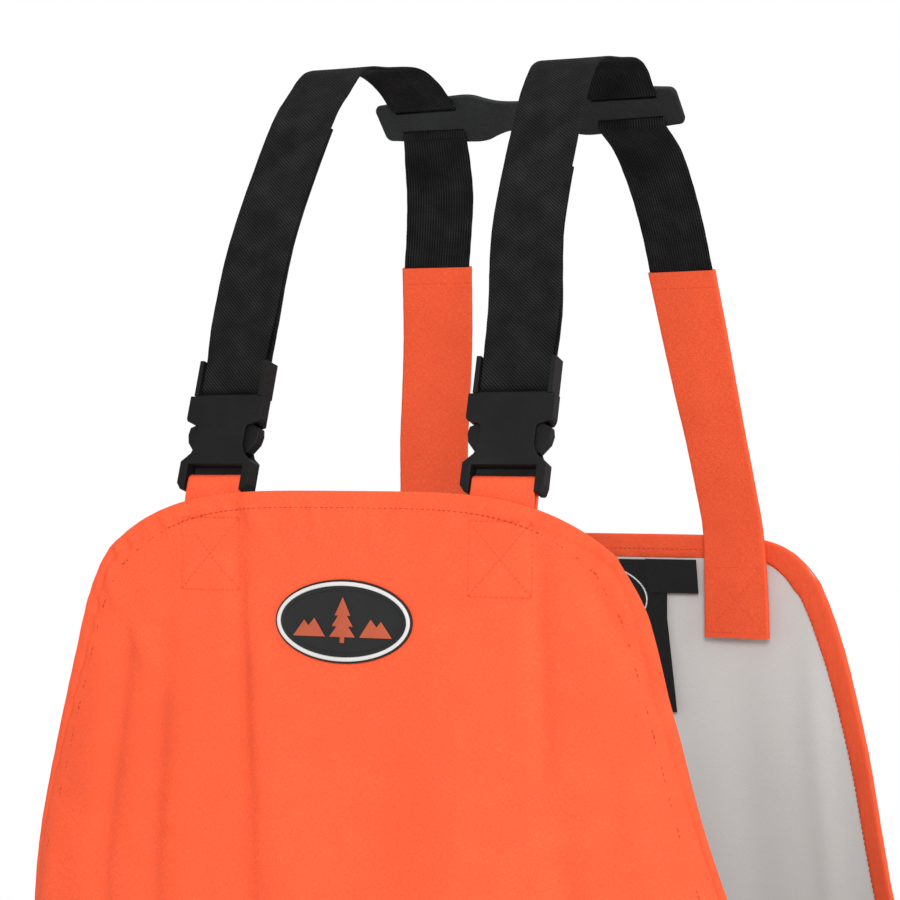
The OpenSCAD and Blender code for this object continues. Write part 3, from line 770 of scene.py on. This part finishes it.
def leg_xyz(share, z, side, inset):
    """A point of the right leg: share from 0 at the side seam to 1 at the inside seam."""
    torso = torso_xyz(np.pi / 2 * (1 - share), z, side, inset)
    turn = np.pi * share
    x = leg_size(z, 1) + (leg_size(z, 2) - inset) * np.cos(turn)
    y = side * (leg_size(z, 3) - inset) * np.sin(turn)
    leg = np.stack([x, y, np.broadcast_to(z, x.shape)], -1)
    p = mix(torso, leg, ramp(WAIST, CROTCH, z)[..., None])
    p[..., 0] += SEAM_GAP
    return p


def leg_relief(share, z, side, mirror):
    """Folds of a hanging leg: long soft flutes, drags from the crotch and wrinkles over the knee."""
    lift = 0
    phase = 1.7 * mirror + (0.9 if side > 0 else 0)
    lift = lift + 1.9 * np.sin(share * 9.5 + phase + z / 260) * ramp(-640, -760, z)
    crease = z + 70 * np.sin(share * 3 + phase)
    knee = np.exp(-((z - KNEE) / 120) ** 2)
    lift = lift + 2.4 * knee * np.sin(crease / 17 + 2.2 * np.sin(share * 4.3 + phase))
    ankle = np.exp(-((z - (HEM + 75)) / 62) ** 2)
    lift = lift + 2.2 * ankle * np.sin((z + 40 * share) / 11.5 + 1.6 * np.sin(share * 5 + phase))
    drag = np.exp(-((z - CROTCH + 20) / 95) ** 2) * ramp(0.35, 0.95, share)
    lift = lift + 2.6 * drag * np.sin((z - 210 * share) / 21)
    lift = lift + 0.5 * np.sin(z / 23 + share * 17) * np.sin(share * 12 + z / 55)
    keep = np.sin(np.pi * np.clip(share, 0, 1)) ** 0.7 * (1 - ramp(HEM + 16, HEM, z) * 0.7)
    return lift * keep * ramp(WAIST - 3, WAIST - 70, z)


def leg_surface(share, z, side, mirror, inset):
    share, z = np.broadcast_arrays(np.asarray(share, float), np.asarray(z, float))
    lift = leg_relief(share, z, side, mirror)
    bead = 0.5 * np.exp(-((z - (HEM + CUFF_H - 2)) / 1.2) ** 2)
    p = leg_xyz(share, z, side, inset - lift + bead)
    limit = GAP / 2
    p[..., 1] = np.minimum(p[..., 1], -limit) if side < 0 else np.maximum(p[..., 1], limit)
    p[..., 0] *= mirror
    return p


def make_leg(name, node, side, mirror):
    share = edge_spread(62, [0, 0.004, 0.012, 0.024, 0.04]) / 2 + 0.5
    z = np.concatenate([[WAIST - GAP], np.linspace(WAIST - 2, HEM + 2, 190), [HEM + 0.7, HEM]])
    a, b = np.meshgrid(share, z)
    edge = np.minimum(np.minimum(a, 1 - a) * LEG_ROUND + 0.3, np.minimum(b - HEM, WAIST - b) + 0.3)
    full = rounded(edge, 1.0)
    outer = leg_surface(a, b, side, mirror, CLOTH_T * (1 - full) * 0.8)
    inner = leg_surface(a, b, side, mirror, CLOTH_T)
    mid = leg_surface(a, b, side, mirror, 0.6)
    u = arc(mid, 1)
    obj = layered(name, outer, inner, u - u[:, -1:] / 2, arc(mid, 0), [MAT["cloth"], MAT["coat"]])
    done(obj, "garment", [node])
    return obj, u[2, -1] * MM, (WAIST - HEM) * MM


def leg_line(share, z, side, mirror, inset=0.0, inner=False):
    p, n = frames_of(lambda a, b: leg_surface(a, b, side, mirror, inset), share, z, (4e-3, 0.5))
    axis = np.array([mirror * 140.0, 0, 0])
    n *= np.where(np.sum(n * (p - axis) * [1, 1, 0], -1, keepdims=True) < 0, -1, 1)
    return p, (-n if inner else n)


def make_cuff(name, node, mirror):
    """The turned leg end: a band inside the leg's opening."""
    turn = np.linspace(0, 2, 97)[:-1]
    z = np.array([CUFF_H, CUFF_H - 0.5, CUFF_H - 2, 18, 12, 6, 2, 0.6, 0.2]) + HEM
    a, b = np.meshgrid(turn, z)
    share = np.where(a <= 1, 1 - a, a - 1)
    grids = []
    for inset in (CLOTH_T - 0.05, CLOTH_T + 1.0):
        front = leg_surface(share, b, -1, mirror, inset)
        rear = leg_surface(share, b, 1, mirror, inset)
        grids.append(np.where((a <= 1)[..., None], front, rear))
    u = arc(grids[0], 1)
    obj = layered(name, grids[1], grids[0], u, arc(grids[0], 0), [MAT["facing"], MAT["facing"]], closed=True)
    return done(obj, "garment", [node])


PAD_SHARE = (1 / 12, 10 / 12)  # the part of the leg's front that a pad covers, across
LEG_TOP, LEG_LENGTH = -600.3, 804.4
PAD_TOP, PAD_LOW = LEG_TOP - LEG_LENGTH * 3 / 18, LEG_TOP - LEG_LENGTH * 17 / 18
QUILT_PITCH = 110


def make_pad(name, node, mirror, near, thick, grow, material):
    """A cut-resistant pad in the front of a leg: layers of fibre, soft at the edge and quilted."""
    share = edge_spread(46, [0, 0.01, 0.03, 0.07]) / 2 + 0.5
    share = mix(PAD_SHARE[0] - grow / 12, PAD_SHARE[1] + grow / 12, share)
    t = np.concatenate([[0, 0.003, 0.01], np.linspace(0.02, 0.98, 110), [0.99, 0.997, 1]])
    z = mix(PAD_TOP + grow * 44, PAD_LOW - grow * 44, t)
    a, b = np.meshgrid(share, z)
    side_gap = np.minimum(a - share[0], share[-1] - a) * LEG_ROUND
    end_gap = np.minimum(z[0] - b, b - z[-1])
    full = rounded(np.minimum(side_gap, end_gap) + 0.15, 8.0)
    quilt = 1 - 0.25 * np.exp(-(((b - PAD_TOP) % QUILT_PITCH - QUILT_PITCH / 2) / 3.5) ** 2)
    depth = thick * full * quilt
    lift = leg_relief(a, b, -1, mirror)
    centre = near + thick / 2

    def at(inset):
        p = leg_xyz(a, b, -1, inset - lift)
        p[..., 0] *= mirror
        return p
    u = arc(at(centre), 1)
    obj = layered(name, at(centre - depth / 2), at(centre + depth / 2), u, arc(at(centre), 0), [material])
    return done(obj, "garment", [node])


LEG_ROWS, LEG_COLS = 400, 90  # points in the stitched lines down and round a leg


def leg_seams(mirror):
    """The stitched lines of a leg: side seam, inside seam, leg end and the top of the pad."""
    rows = np.linspace(WAIST - 12, HEM + 3, LEG_ROWS)
    low_rows = rows[rows < CROTCH]
    lines = []
    for side in (-1, 1):
        for share in (0.017, 0.034):
            lines.append(leg_line(np.full(LEG_ROWS, share), rows, side, mirror))
        lines.append(leg_line(np.full(len(low_rows), 0.978), low_rows, side, mirror))
        lines.append(leg_line(np.linspace(0.02, 0.98, LEG_COLS), np.full(LEG_COLS, HEM + CUFF_H - 2),
                              side, mirror))
    sewn = np.linspace(PAD_SHARE[0] - 0.03, PAD_SHARE[1] + 0.05, LEG_COLS)
    lines.append(leg_line(sewn, np.full(LEG_COLS, PAD_TOP + 15), -1, mirror))
    return lines


for name, mirror in SIDES.items():
    front, back = (make_leg(f"{name}_{which}_leg_cloth", f"{name}_{which}_leg", side, mirror)
                   for side, which in ((-1, "front"), (1, "back")))
    cuff = make_cuff(f"{name}_leg_end", f"{name}_leg_cuff", mirror)
    seams = done(stitches(f"{name}_leg_stitches", leg_seams(mirror), MAT["thread"], pitch=3.4, length=2.5))
    pad = make_pad(f"{name}_cut_pad", f"{name}_leg_pad", mirror, 2.4, 5.6, 0, MAT["felt"])
    lining = make_pad(f"{name}_pad_backing", f"{name}_pad_lining", mirror, 8.7, 0.8, 0.4, MAT["lining"])

# The waist seam's two rows of stitches, on the lap of the bib and the back panel.
lines = []
for side in (-1, 1):
    for v in (0.977, 0.993):
        s = np.linspace(-0.985, 0.985, 260)
        lines.append(frames_of(lambda a, b: panel_surface(a, b, side, 0.0), s, np.full(260, v)))
done(stitches("waist_seam_stitches", lines, MAT["thread"], pitch=3.4, length=2.5))


# ---- ribbons ----

def ribbon_frames(path, steps):
    """Centre line, sideways and outward directions, and widths, from rows of x, y, z, width, turn."""
    p = spline(path, steps)
    centre, width, turn = p[:, :3], p[:, 3], np.radians(p[:, 4])
    tangent = unit(np.gradient(centre, axis=0))
    side = np.stack([np.cos(turn), np.sin(turn), 0 * turn], -1)
    outward = unit(np.cross(side, tangent))
    return centre, side, outward, width


ACROSS = edge_spread(25, [0, 0.006, 0.02, 0.045, 0.08])


def ribbon(name, path, thick, materials, steps, mirror, wobble, part=slice(None), edge_r=0.7, rim=0):
    """A flat band with rounded edges. Material 0 is on its face away from the wearer."""
    centre, side, outward, width = ribbon_frames(path, steps)
    length = arc(centre[:, None, :], 0)[:, :1]
    centre, side, outward, width, length = (q[part] for q in (centre, side, outward, width, length))
    a = ACROSS[None, :]
    half = width[:, None] / 2 * (1 + wobble * 0.006 * np.sin(length / 1.9))
    full = rounded((1 - np.abs(a)) * half, edge_r)
    curve = 0.12 * wobble * np.sin(length / 6.3 + a * 2)
    mid = (centre[:, None, :] + side[:, None, :] * (a * half)[..., None]
           + outward[:, None, :] * curve[..., None])
    rise = outward[:, None, :] * (thick / 2 * full)[..., None]
    rear, face = mid - rise, mid + rise
    for g in (face, rear):
        g[..., 0] *= mirror
    u = np.broadcast_to(a * half, full.shape)
    v = np.broadcast_to(length, full.shape)
    return layered(name, face, rear, u * mirror, v, materials, smooth_angle=50, rim=rim)


def buckle_frame(name):
    """Mouth, along and inwards directions of a buckle, in millimetres, from its joints."""
    outer = joints[f"{name}_outer_arm_squeeze"]["pos_m"]
    inner = joints[f"{name}_inner_arm_squeeze"]["pos_m"]
    along = unit(np.array(joints[f"{name}_buckle_release"]["axis"]))
    middle = (np.array(outer) + np.array(inner)) / 2 / MM
    across = unit(np.array(inner) - np.array(outer)) * SIDES[name] * -1
    inwards = unit(np.cross(along, across))
    return middle + along * 2.0, along, inwards, across


# The right side's places serve both sides: the left ones are mirrored when they are drawn.
mouth, along, inwards, across = buckle_frame("right")
BUCKLE_TURN = math.degrees(math.atan2(across[1], across[0]))


def on_buckle(v, w):
    return mouth + inwards * v + along * w


yoke_mid = (yoke_lo + yoke_hi) / 2
SLOPE = math.radians(45)
down_yoke = np.array([0, math.cos(SLOPE), -math.sin(SLOPE)])
under_yoke = np.array([0, -math.sin(SLOPE), -math.cos(SLOPE)])


def on_yoke(x, s, o):
    return yoke_mid + down_yoke * s + under_yoke * o + np.array([x, 0, 0])


def wide(points, width, turn=0.0):
    return [[*p, width, turn] for p in points]


ELASTIC_T, ELASTIC_W, REAR_W = 1.8, 40.0, 42.0
BAR_W, BAR_R = 5.6, 1.6
LOOP_R = BAR_R + GAP + ELASTIC_T / 2
LOOP_TURNS = [math.radians(a) for a in (100, 80, 60, 40, 20, 0)]
from_bar = wide([on_buckle(-LOOP_R * math.cos(a), BAR_W - LOOP_R * math.sin(a)) for a in LOOP_TURNS]
                + [on_buckle(-LOOP_R, 12), on_buckle(-LOOP_R, 20)], ELASTIC_W - 2, BUCKLE_TURN)
from_bar += wide([on_buckle(-LOOP_R, 48)], ELASTIC_W, BUCKLE_TURN / 2)
OVER = {
    "right": [[78.4, -109, -101, ELASTIC_W, 1]]
    + wide([[74, -74, -42], [71.2, -53, -17.5], [69.6, -37, -7.4], [68.4, -8, -3.4]], ELASTIC_W)
    + wide([[67.2, 14, -1], [65.6, 32, -4]], REAR_W),
    "left": [[80.8, -109, -101, ELASTIC_W, 1]]
    + wide([[79, -72, -40], [78.6, -52, -18.5], [78.2, -33, -3.4], [76, -8, 0.4]], ELASTIC_W)
    + wide([[71, 17, 2.4], [67, 33, -4]], REAR_W),
}
# across, down and under the yoke, at each point of the way through its slots
YOKE_WAY = [(64.5, -14, 2.6), (64, -10.6, 2.3), (64, -8.4, 0), (64, -6.6, -2.1), (64, -3.5, -2.65),
            (64, 0, -2.7), (64, 3.5, -2.65), (64, 6.6, -2.1), (64, 8.4, 0), (64.3, 10.6, 2.3),
            (64.6, 14, 2.6)]
THROUGH = wide([on_yoke(*point) for point in YOKE_WAY], REAR_W)
DOWN = {
    "right": [[70.6, 72, -46, REAR_W, -3], [75.5, 80, -66, REAR_W, -6], [79, 89, -90, REAR_W, -8],
              [80.8, 97.2, -112.6, REAR_W, -8], [81.6, 99.3, -119, REAR_W, -8]],
    "left": [[66.6, 72, -46, REAR_W + 1, -3], [69, 80, -66, REAR_W + 1, -6], [74.5, 89, -90, REAR_W, -8],
             [78.7, 94.9, -105.6, REAR_W, -8], [79.6, 97.6, -112, REAR_W, -8]],
}
STRAP_W, STRAP_T = 45.0, 3.0
STRAP_Y = BACK_Y - TURNED_T - 3 * GAP - STRAP_T / 2 - 6.5
STRAP = {
    "right": [[81.2, 97.5, -114, STRAP_W, -8], [85.4, 109.6, -155, STRAP_W - 1, -8],
              [89.2, 117.5, -187, STRAP_W - 2.5, -8], [92.6, 123.8, -213, STRAP_W - 4, -8],
              [96.4, 130.5, -243, STRAP_W - 4.8, -7], [99.8, 133.5, -268, STRAP_W - 4.8, -7],
              [102, STRAP_Y, -300, STRAP_W - 3, -6.5], [102.6, STRAP_Y, -331, STRAP_W - 2, -6.5]],
    "left": wide([[78.9, 95.4, -107], [85.2, 108.8, -150], [91, 117.5, -187], [95.5, 123.8, -213]],
                 STRAP_W, -8)
    + wide([[99, 130.5, -243], [101, 133.5, -268]], STRAP_W, -7)
    + wide([[102, STRAP_Y, -300], [102, STRAP_Y, -331]], STRAP_W, -6.5),
}
STEPS = 10
BESIDE_LATCH = 6  # the control point just above the latch's bar
CREST = len(from_bar) + 4  # the control point where the brace tops the shoulder
TAIL_END = {"left": len(from_bar) + 1.0, "right": len(from_bar) + 0.85}
BAR_POINT = len(from_bar) + 7 + 5  # the control point behind the yoke's middle bar

ELASTIC_FACES = [MAT["twill"], MAT["rib"]]
STRETCH_FROM = 20  # the height above the mouth of the place given as the elastic's end at the latch
SLOT_X, SLOT_OUT = 64, 14


def elastic_run(name, path, steps, mirror, ends, part=slice(None)):
    """A run of elastic along its path.
    ends is not used."""
    band = ribbon(name, path, ELASTIC_T, ELASTIC_FACES, steps, mirror, 0.5, part, rim=1)
    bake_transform(band)
    return band


def draw_brace(name, mirror):
    """The elastic, from the latch over the shoulder and through the yoke, and its free end."""
    path = from_bar + OVER[name] + THROUGH + DOWN[name]
    flip = np.array([mirror, 1, 1]) * MM
    crest, low_end = path[CREST][:3] * flip, path[-2][:3] * flip
    at_mouth = on_buckle(0, STRETCH_FROM) * flip
    slots = [on_yoke(SLOT_X * mirror, down, 0) * MM for down in (-SLOT_OUT, SLOT_OUT)]
    to_shoulder = (f"{name}_latch", "garment", at_mouth, crest)
    front = elastic_run(f"{name}_brace_front", path, STEPS, mirror, to_shoulder, slice(0, CREST * STEPS + 1))
    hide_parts(f"{name}_elastic_brace")
    elastic_run(f"{name}_brace_crown", path, STEPS, mirror, ("garment", "back_yoke", crest, slots[0]),
                slice(CREST * STEPS, BAR_POINT * STEPS + 1))
    elastic_run(f"{name}_brace_rear", path, STEPS, mirror, ("back_yoke", "garment", slots[1], low_end),
                slice(BAR_POINT * STEPS, None))
    centre, across_it, outward, width = ribbon_frames(path, STEPS)
    tail = wide([on_buckle(LOOP_R, BAR_W), on_buckle(LOOP_R, 9)], ELASTIC_W - 2, BUCKLE_TURN)
    for i in range(BESIDE_LATCH * STEPS, int(TAIL_END[name] * STEPS) + 1, 5):
        closed = float(ramp(BESIDE_LATCH + 1, TAIL_END[name] - 0.6, i / STEPS))
        q = centre[i] - outward[i] * mix(2 * LOOP_R, ELASTIC_T + 0.35, closed)
        tail.append([*q, width[i], math.degrees(math.atan2(across_it[i][1], across_it[i][0]))])
    free_end = elastic_run(f"{name}_brace_free_end", tail, 4, mirror, to_shoulder)
    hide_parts(f"{name}_brace_tail")


def draw_strap(name, mirror):
    """The cloth strap, sewn round the elastic's end and to the inside of the back panel."""
    strap = ribbon(f"{name}_back_strap_cloth", STRAP[name], STRAP_T, [MAT["cloth"]], STEPS, mirror, 0.35,
                   edge_r=1.4)
    done(strap, "garment", [f"{name}_back_strap"])
    centre, across_it, outward = ribbon_frames(STRAP[name], STEPS)[:3]
    run = arc(centre[:, None, :], 0)[:, 0]

    def strap_line(a, b, face):
        """A stitched line on a strap between two (across, along) points, on one of its faces."""
        t = np.linspace(0, 1, 40)
        x, w = mix(a[0], b[0], t), mix(a[1], b[1], t)
        out = along_run(outward, run, w) * face
        p = along_run(centre, run, w) + along_run(across_it, run, w) * x[:, None] + out * (STRAP_T / 2 - 0.05)
        return p * [mirror, 1, 1], out * [mirror, 1, 1]
    lines = []
    low, high = run[-1] - 3.2, run[-1] - 42
    box_half, top_half = STRAP_W / 2 - 3.2, STRAP_W / 2 - 1
    for face in (-1, 1):
        lines.append(strap_line((-top_half, 10), (top_half, 10), face))
        corners = [(-box_half, high), (box_half, high), (box_half, low), (-box_half, low)]
        lines += [strap_line(a, b, face) for a, b in cross_box(corners)]
    done(stitches(f"{name}_strap_stitches", lines, MAT["thread"], pitch=2.8, length=2.1, width=0.5,
                  rise=0.2))


TAB_T, TAB_W, TAB_LOW_W = 1.4, 35.0, 37.5
TAB_BAR_W, TAB_LOOP_R = -46.3, 2.1 + GAP + TAB_T / 2
TAB_SEAM_TOP = -262


def draw_tab(name, mirror):
    """The tab that holds a buckle: up inside the bib, round the buckle's bar and down again."""
    near_y = -BIB_Y + TURNED_T + 3 * GAP + TAB_T / 2 + 1.6
    loop = wide([on_buckle(-TAB_LOOP_R, TAB_BAR_W - 5)]
                + [on_buckle(-TAB_LOOP_R * math.cos(a), TAB_BAR_W + TAB_LOOP_R * math.sin(a))
                   for a in np.linspace(0, math.pi, 7)]
                + [on_buckle(TAB_LOOP_R - 0.6, TAB_BAR_W - 5)], TAB_W, BUCKLE_TURN)
    up, down = ([[TAB_X, y, z, TAB_LOW_W, BUCKLE_TURN] for z in (tab_lo[2], TAB_SEAM_TOP)]
                for y in (near_y, near_y + TAB_T + GAP))
    tab = ribbon(f"{name}_tab_cloth", up + loop + down[::-1], TAB_T, [MAT["cloth"]], 6, mirror, 0.8)
    done(tab, "garment", [f"{name}_buckle_tab"])


for name, mirror in SIDES.items():
    draw_brace(name, mirror)
    draw_strap(name, mirror)
    draw_tab(name, mirror)


# ---- moulded pieces: the CAD shapes with softened edges ----

def softened(name, node, material, body, width):
    """A copy of a CAD node's shape whose edges are rounded over."""
    source = frame["nodes"][node]
    mesh = source.data.copy()
    mesh.name = name
    mesh.materials.clear()
    bm = bmesh.new()
    bm.from_mesh(mesh)
    bmesh.ops.remove_doubles(bm, verts=bm.verts, dist=2e-6)
    bmesh.ops.dissolve_limit(bm, angle_limit=math.radians(2), verts=bm.verts, edges=bm.edges)
    bmesh.ops.recalc_face_normals(bm, faces=bm.faces)
    bm.to_mesh(mesh)
    bm.free()
    obj = new_object(name, mesh, [material])
    bevel = obj.modifiers.new("rounded_edges", "BEVEL")
    bevel.width = width * MM
    bevel.segments = 2
    bevel.limit_method = "ANGLE"
    bevel.angle_limit = math.radians(25)
    bevel.use_clamp_overlap = True
    bevel.harden_normals = False
    mesh.shade_smooth()
    mesh.set_sharp_from_angle(angle=math.radians(35))
    done(obj, body, [node])
    return obj


for name in SIDES:
    softened(f"{name}_buckle_shell", f"{name}_buckle_body", MAT["plastic"], "garment", 0.5)
    softened(f"{name}_buckle_insert", f"{name}_buckle_latch", MAT["plastic"],
             f"{name}_latch", 0.35)
    for which in ("outer", "inner"):
        softened(f"{name}_{which}_spring_arm", f"{name}_{which}_latch_arm", MAT["plastic"],
                 f"{name}_{which}_arm", 0.5)


# ---- yoke: a filled outline with two pairs of slots and rolled edges ----

YOKE_T, YOKE_EDGE = 3.0, 0.9
YOKE_END, YOKE_END_H = yoke_hi[0], 13.0
SLOT_MID, SLOT_HALF = 64.0, 20.2


def mirrored_outline(points):
    """All four quarters of an outline from its upper right one, as points (x, height)."""
    right = points + [(x, -h) for x, h in points[::-1]]
    return right + [(-x, h) for x, h in right[::-1]]


def make_yoke():
    curve = bpy.data.curves.new("brace_yoke", "CURVE")
    curve.dimensions = "2D"
    curve.fill_mode = "BOTH"
    inner = YOKE_EDGE * MM
    curve.extrude = YOKE_T / 2 * MM - inner
    curve.bevel_depth = inner
    curve.bevel_resolution = 3
    curve.offset = -inner
    e, h = YOKE_END, YOKE_END_H
    quarter = [(2, 9.6), (8, 9.9), (16, 11), (23, 13.4), (29, 16), (35, 17), (43, 16.8), (70, 15.2),
               (e - 7, h + 0.3), (e - 3, h - 0.2), (e - 1, h - 1.5), (e, h - 4)]
    loops = [mirrored_outline([tuple(p) for p in spline(quarter, 4)])]
    for mirror in (-1, 1):
        for flip in (-1, 1):
            slot_loop = [(SLOT_MID - SLOT_HALF, 7.0), (SLOT_MID - SLOT_HALF, 10.6),
                         (SLOT_MID + SLOT_HALF, 10.0), (SLOT_MID + SLOT_HALF, 6.4)]
            loops.append([(mirror * x, flip * w) for x, w in slot_loop])
    for loop in loops:
        line = curve.splines.new("POLY")
        line.points.add(len(loop) - 1)
        for point, (x, w) in zip(line.points, loop):
            point.co = (x * MM, w * MM, 0, 1)
        line.use_cyclic_u = True
    shape = bpy.data.objects.new("yoke_outline", curve)
    bpy.context.scene.collection.objects.link(shape)
    bpy.context.view_layer.update()
    mesh = bpy.data.meshes.new_from_object(shape.evaluated_get(bpy.context.evaluated_depsgraph_get()))
    bpy.data.objects.remove(shape)
    mesh.name = "brace_yoke"
    mesh.materials.clear()
    co = np.zeros(len(mesh.vertices) * 3)
    mesh.vertices.foreach_get("co", co)
    co = co.reshape(-1, 3)
    placed = yoke_mid * MM + co[:, :1] * [1, 0, 0] - co[:, 1:2] * down_yoke - co[:, 2:3] * under_yoke
    mesh.vertices.foreach_set("co", placed.ravel())
    obj = new_object("brace_yoke", mesh, [MAT["yoke"]])
    finish_mesh(mesh, 50)
    done(obj, "back_yoke", ["back_yoke"])


make_yoke()


# ---- badge ----

def oval_shell(name, profile, width, height, material, replaces, steps=96, close=False):
    """A moulded oval on the bib's face, from rows of (distance inside its outline, distance out)."""
    turn = np.arange(steps) * 2 * np.pi / steps
    verts, faces = [], []
    for inset, out in profile:
        for a in turn:
            z = BADGE_MID[2] + (height / 2 - inset) * math.sin(a)
            verts.append([(width / 2 - inset) * math.cos(a), -depth_at(z, -1) - GAP - out, z])
    rows = len(profile)
    last = rows if close else rows - 1
    for r in range(last):
        for k in range(steps):
            m, q = (k + 1) % steps, (r + 1) % rows
            faces.append([r * steps + k, r * steps + m, q * steps + m, q * steps + k])
    if not close:
        faces.append([k for k in range(steps)][::-1])
        faces.append([(rows - 1) * steps + k for k in range(steps)])
    mesh = bpy.data.meshes.new(name)
    mesh.from_pydata((np.array(verts) * MM).tolist(), [], faces)
    obj = new_object(name, mesh, [material])
    finish_mesh(mesh, 35)
    return done(obj, "garment", replaces)


badge_w, badge_h = (badge_hi - badge_lo)[0], (badge_hi - badge_lo)[2]
oval_shell("badge_base", [(0.3, 0.0), (0, 0.3), (0, 1.0), (0.25, 1.35), (0.8, 1.5), (1.0, 1.2), (3.3, 1.2),
                          (3.5, 1.5), (3.9, 1.62), (4.6, 1.45), (5.4, 1.3), (18, 1.34)],
           badge_w, badge_h, MAT["rubber"], ["badge_plate"])
PALE_RING = [(1.05, 1.1), (1.1, 1.6), (1.5, 1.95), (2.2, 2.05), (2.9, 1.95), (3.2, 1.6), (3.25, 1.1)]
oval_shell("badge_pale_ring", PALE_RING,
           badge_w, badge_h, MAT["ring"], ["badge_rim"], close=True)
softened("badge_mark_relief", "badge_emblem", MAT["mark"], "garment", 0.2)
turn = np.linspace(0, 2 * np.pi, 200)
oval_z = BADGE_MID[2] + (badge_h / 2 - 5.6) * np.sin(turn)
oval_line = np.stack([(badge_w / 2 - 5.6) * np.cos(turn), -depth_at(oval_z, -1) - GAP - 1.3, oval_z], -1)
face_out = np.tile([0.0, -1.0, 0.0], (200, 1))
done(stitches("badge_stitches", [(oval_line, face_out)], MAT["rubber"], pitch=2.2, length=1.6, width=0.5,
              rise=0.25))


# ---- neck label and flag ----

def woven_tag(name, outline, y, thick, material, replaces, sag=1.0):
    """A thin woven tag hanging by its top edge: a closed sheet with a slight curl."""
    left, right, z = outline
    rows = np.linspace(0, 1, 40)
    cols = np.linspace(0, 1, 30)
    a, b = np.meshgrid(cols, rows)
    zz = np.interp(b, np.linspace(0, 1, len(z)), z)
    lo = np.interp(b, np.linspace(0, 1, len(z)), left)
    hi = np.interp(b, np.linspace(0, 1, len(z)), right)
    x = mix(lo, hi, a)
    curl = sag * (b ** 1.5) * (0.35 + 0.65 * np.abs(2 * a - 1) ** 3) + 0.25 * np.sin(x / 9) * b
    front = np.stack([x, y - curl, zz], -1)
    back = front + np.array([0, thick, 0])
    obj = layered(name, front, back, x, zz, [material], smooth_angle=50)
    done(obj, "garment", replaces)
    return obj


top, mid_z, low = label_hi[2], label_hi[2] - 35, label_lo[2]
upper_half, low_half = label_hi[0] - 7, label_hi[0]
label = woven_tag("neck_label_cloth", ([-upper_half, -upper_half, -(low_half + upper_half) / 2, -low_half],
                                       [upper_half, upper_half, (low_half + upper_half) / 2, low_half],
                                       [top, mid_z, (mid_z + low) / 2, low]),
                  label_lo[1], 0.6, MAT["label"], ["neck_label"])
woven_tag("size_flag_cloth", ([flag_lo[0], flag_lo[0], flag_lo[0] + 4],
                              [flag_hi[0] - 2, flag_hi[0] - 1, flag_hi[0]],
                              [flag_hi[2], flag_hi[2] - 10, flag_lo[2]]),
          flag_lo[1], 0.6, MAT["label"], ["size_flag"], 0.8)


def printed_line(name, points, width, y):
    """A thin pale woven line on the label's face."""
    p = np.array(points, float)
    t = unit(np.gradient(p, axis=0))
    side = np.stack([-t[:, 1], t[:, 0]], -1) * width / 2
    front = np.stack([np.stack([p[:, 0] + k * side[:, 0], np.full(len(p), y), p[:, 1] + k * side[:, 1]], -1)
                      for k in (-1, 1)], 1)
    back = front + np.array([0, 0.5, 0])
    v = np.broadcast_to(np.arange(len(p))[:, None], front.shape[:2])
    obj = layered(name, front, back, v * 0.5, v, [MAT["print"]], smooth_angle=50)
    return done(obj)


angles = np.linspace(0, 2 * np.pi, 121)
printed_line("label_oval_line", [[42 * math.cos(a), top - 24.5 + 22 * math.sin(a)] for a in angles], 0.8,
             label_lo[1] - 0.45)


# ---- camera, floor and light ----

CAMERA_TURN = math.radians(26.8)
camera_data = bpy.data.cameras.new("camera")
camera_data.sensor_width = 36
camera_data.lens = 106.24
camera_data.clip_end = 50
camera = bpy.data.objects.new("camera", camera_data)
camera.location = (0.663, -1.3557, -0.219)
camera.rotation_euler = (math.radians(90), 0, CAMERA_TURN)
bpy.context.scene.collection.objects.link(camera)
bpy.context.scene.camera = camera


def area_light(name, place, aim, size, power):
    data = bpy.data.lights.new(name, "AREA")
    data.shape = "DISK"
    data.size = size
    data.energy = power
    light = bpy.data.objects.new(name, data)
    light.location = place
    light.rotation_euler = (Vector(aim) - Vector(place)).to_track_quat("-Z", "Y").to_euler()
    bpy.context.scene.collection.objects.link(light)


CHEST = (0.0, -0.05, -0.35)
area_light("key_light", (1.25, -2.5, 0.7), CHEST, 1.0, 43)
area_light("low_fill", (0.6, -2.7, -0.25), CHEST, 1.0, 12)
area_light("side_light", (2.5, -0.9, 0.2), CHEST, 0.8, 9)
area_light("top_light", (0.2, 0.2, 2.0), CHEST, 1.2, 12)

# A plain white surround, which lights the object less than it shows.
AMBIENT = 0.6
world = bpy.data.worlds.new("studio")
world.use_nodes = True
sky = world.node_tree
sky.nodes["Background"].inputs["Color"].default_value = (1, 1, 1, 1)
seen = sky.nodes.new("ShaderNodeLightPath").outputs["Is Camera Ray"]
strength = sky.nodes.new("ShaderNodeMapRange")
strength.inputs["To Min"].default_value = AMBIENT
strength.inputs["To Max"].default_value = 1.0
sky.links.new(seen, strength.inputs["Value"])
sky.links.new(strength.outputs[0], sky.nodes["Background"].inputs["Strength"])
bpy.context.scene.world = world
bpy.context.scene.view_settings.view_transform = "Standard"

floor_mesh = bpy.data.meshes.new("studio_floor")
FLOOR_Z, FLOOR_HALF = cad_box[0].z - 0.004, 4.0
bm = bmesh.new()
bmesh.ops.create_grid(bm, x_segments=8, y_segments=8, size=FLOOR_HALF)
bmesh.ops.translate(bm, verts=bm.verts, vec=(0, 0, FLOOR_Z))
bm.to_mesh(floor_mesh)
bm.free()
pale = Tree("studio_floor")
grain = pale.noise(pale.place(), 3.0, 2.0)
pale.colour(pale.ramp(grain, [(0.3, (0.78, 0.78, 0.77)), (0.7, (0.82, 0.82, 0.81))]))
new_object("studio_floor", floor_mesh, [pale.set(Roughness=0.8)])
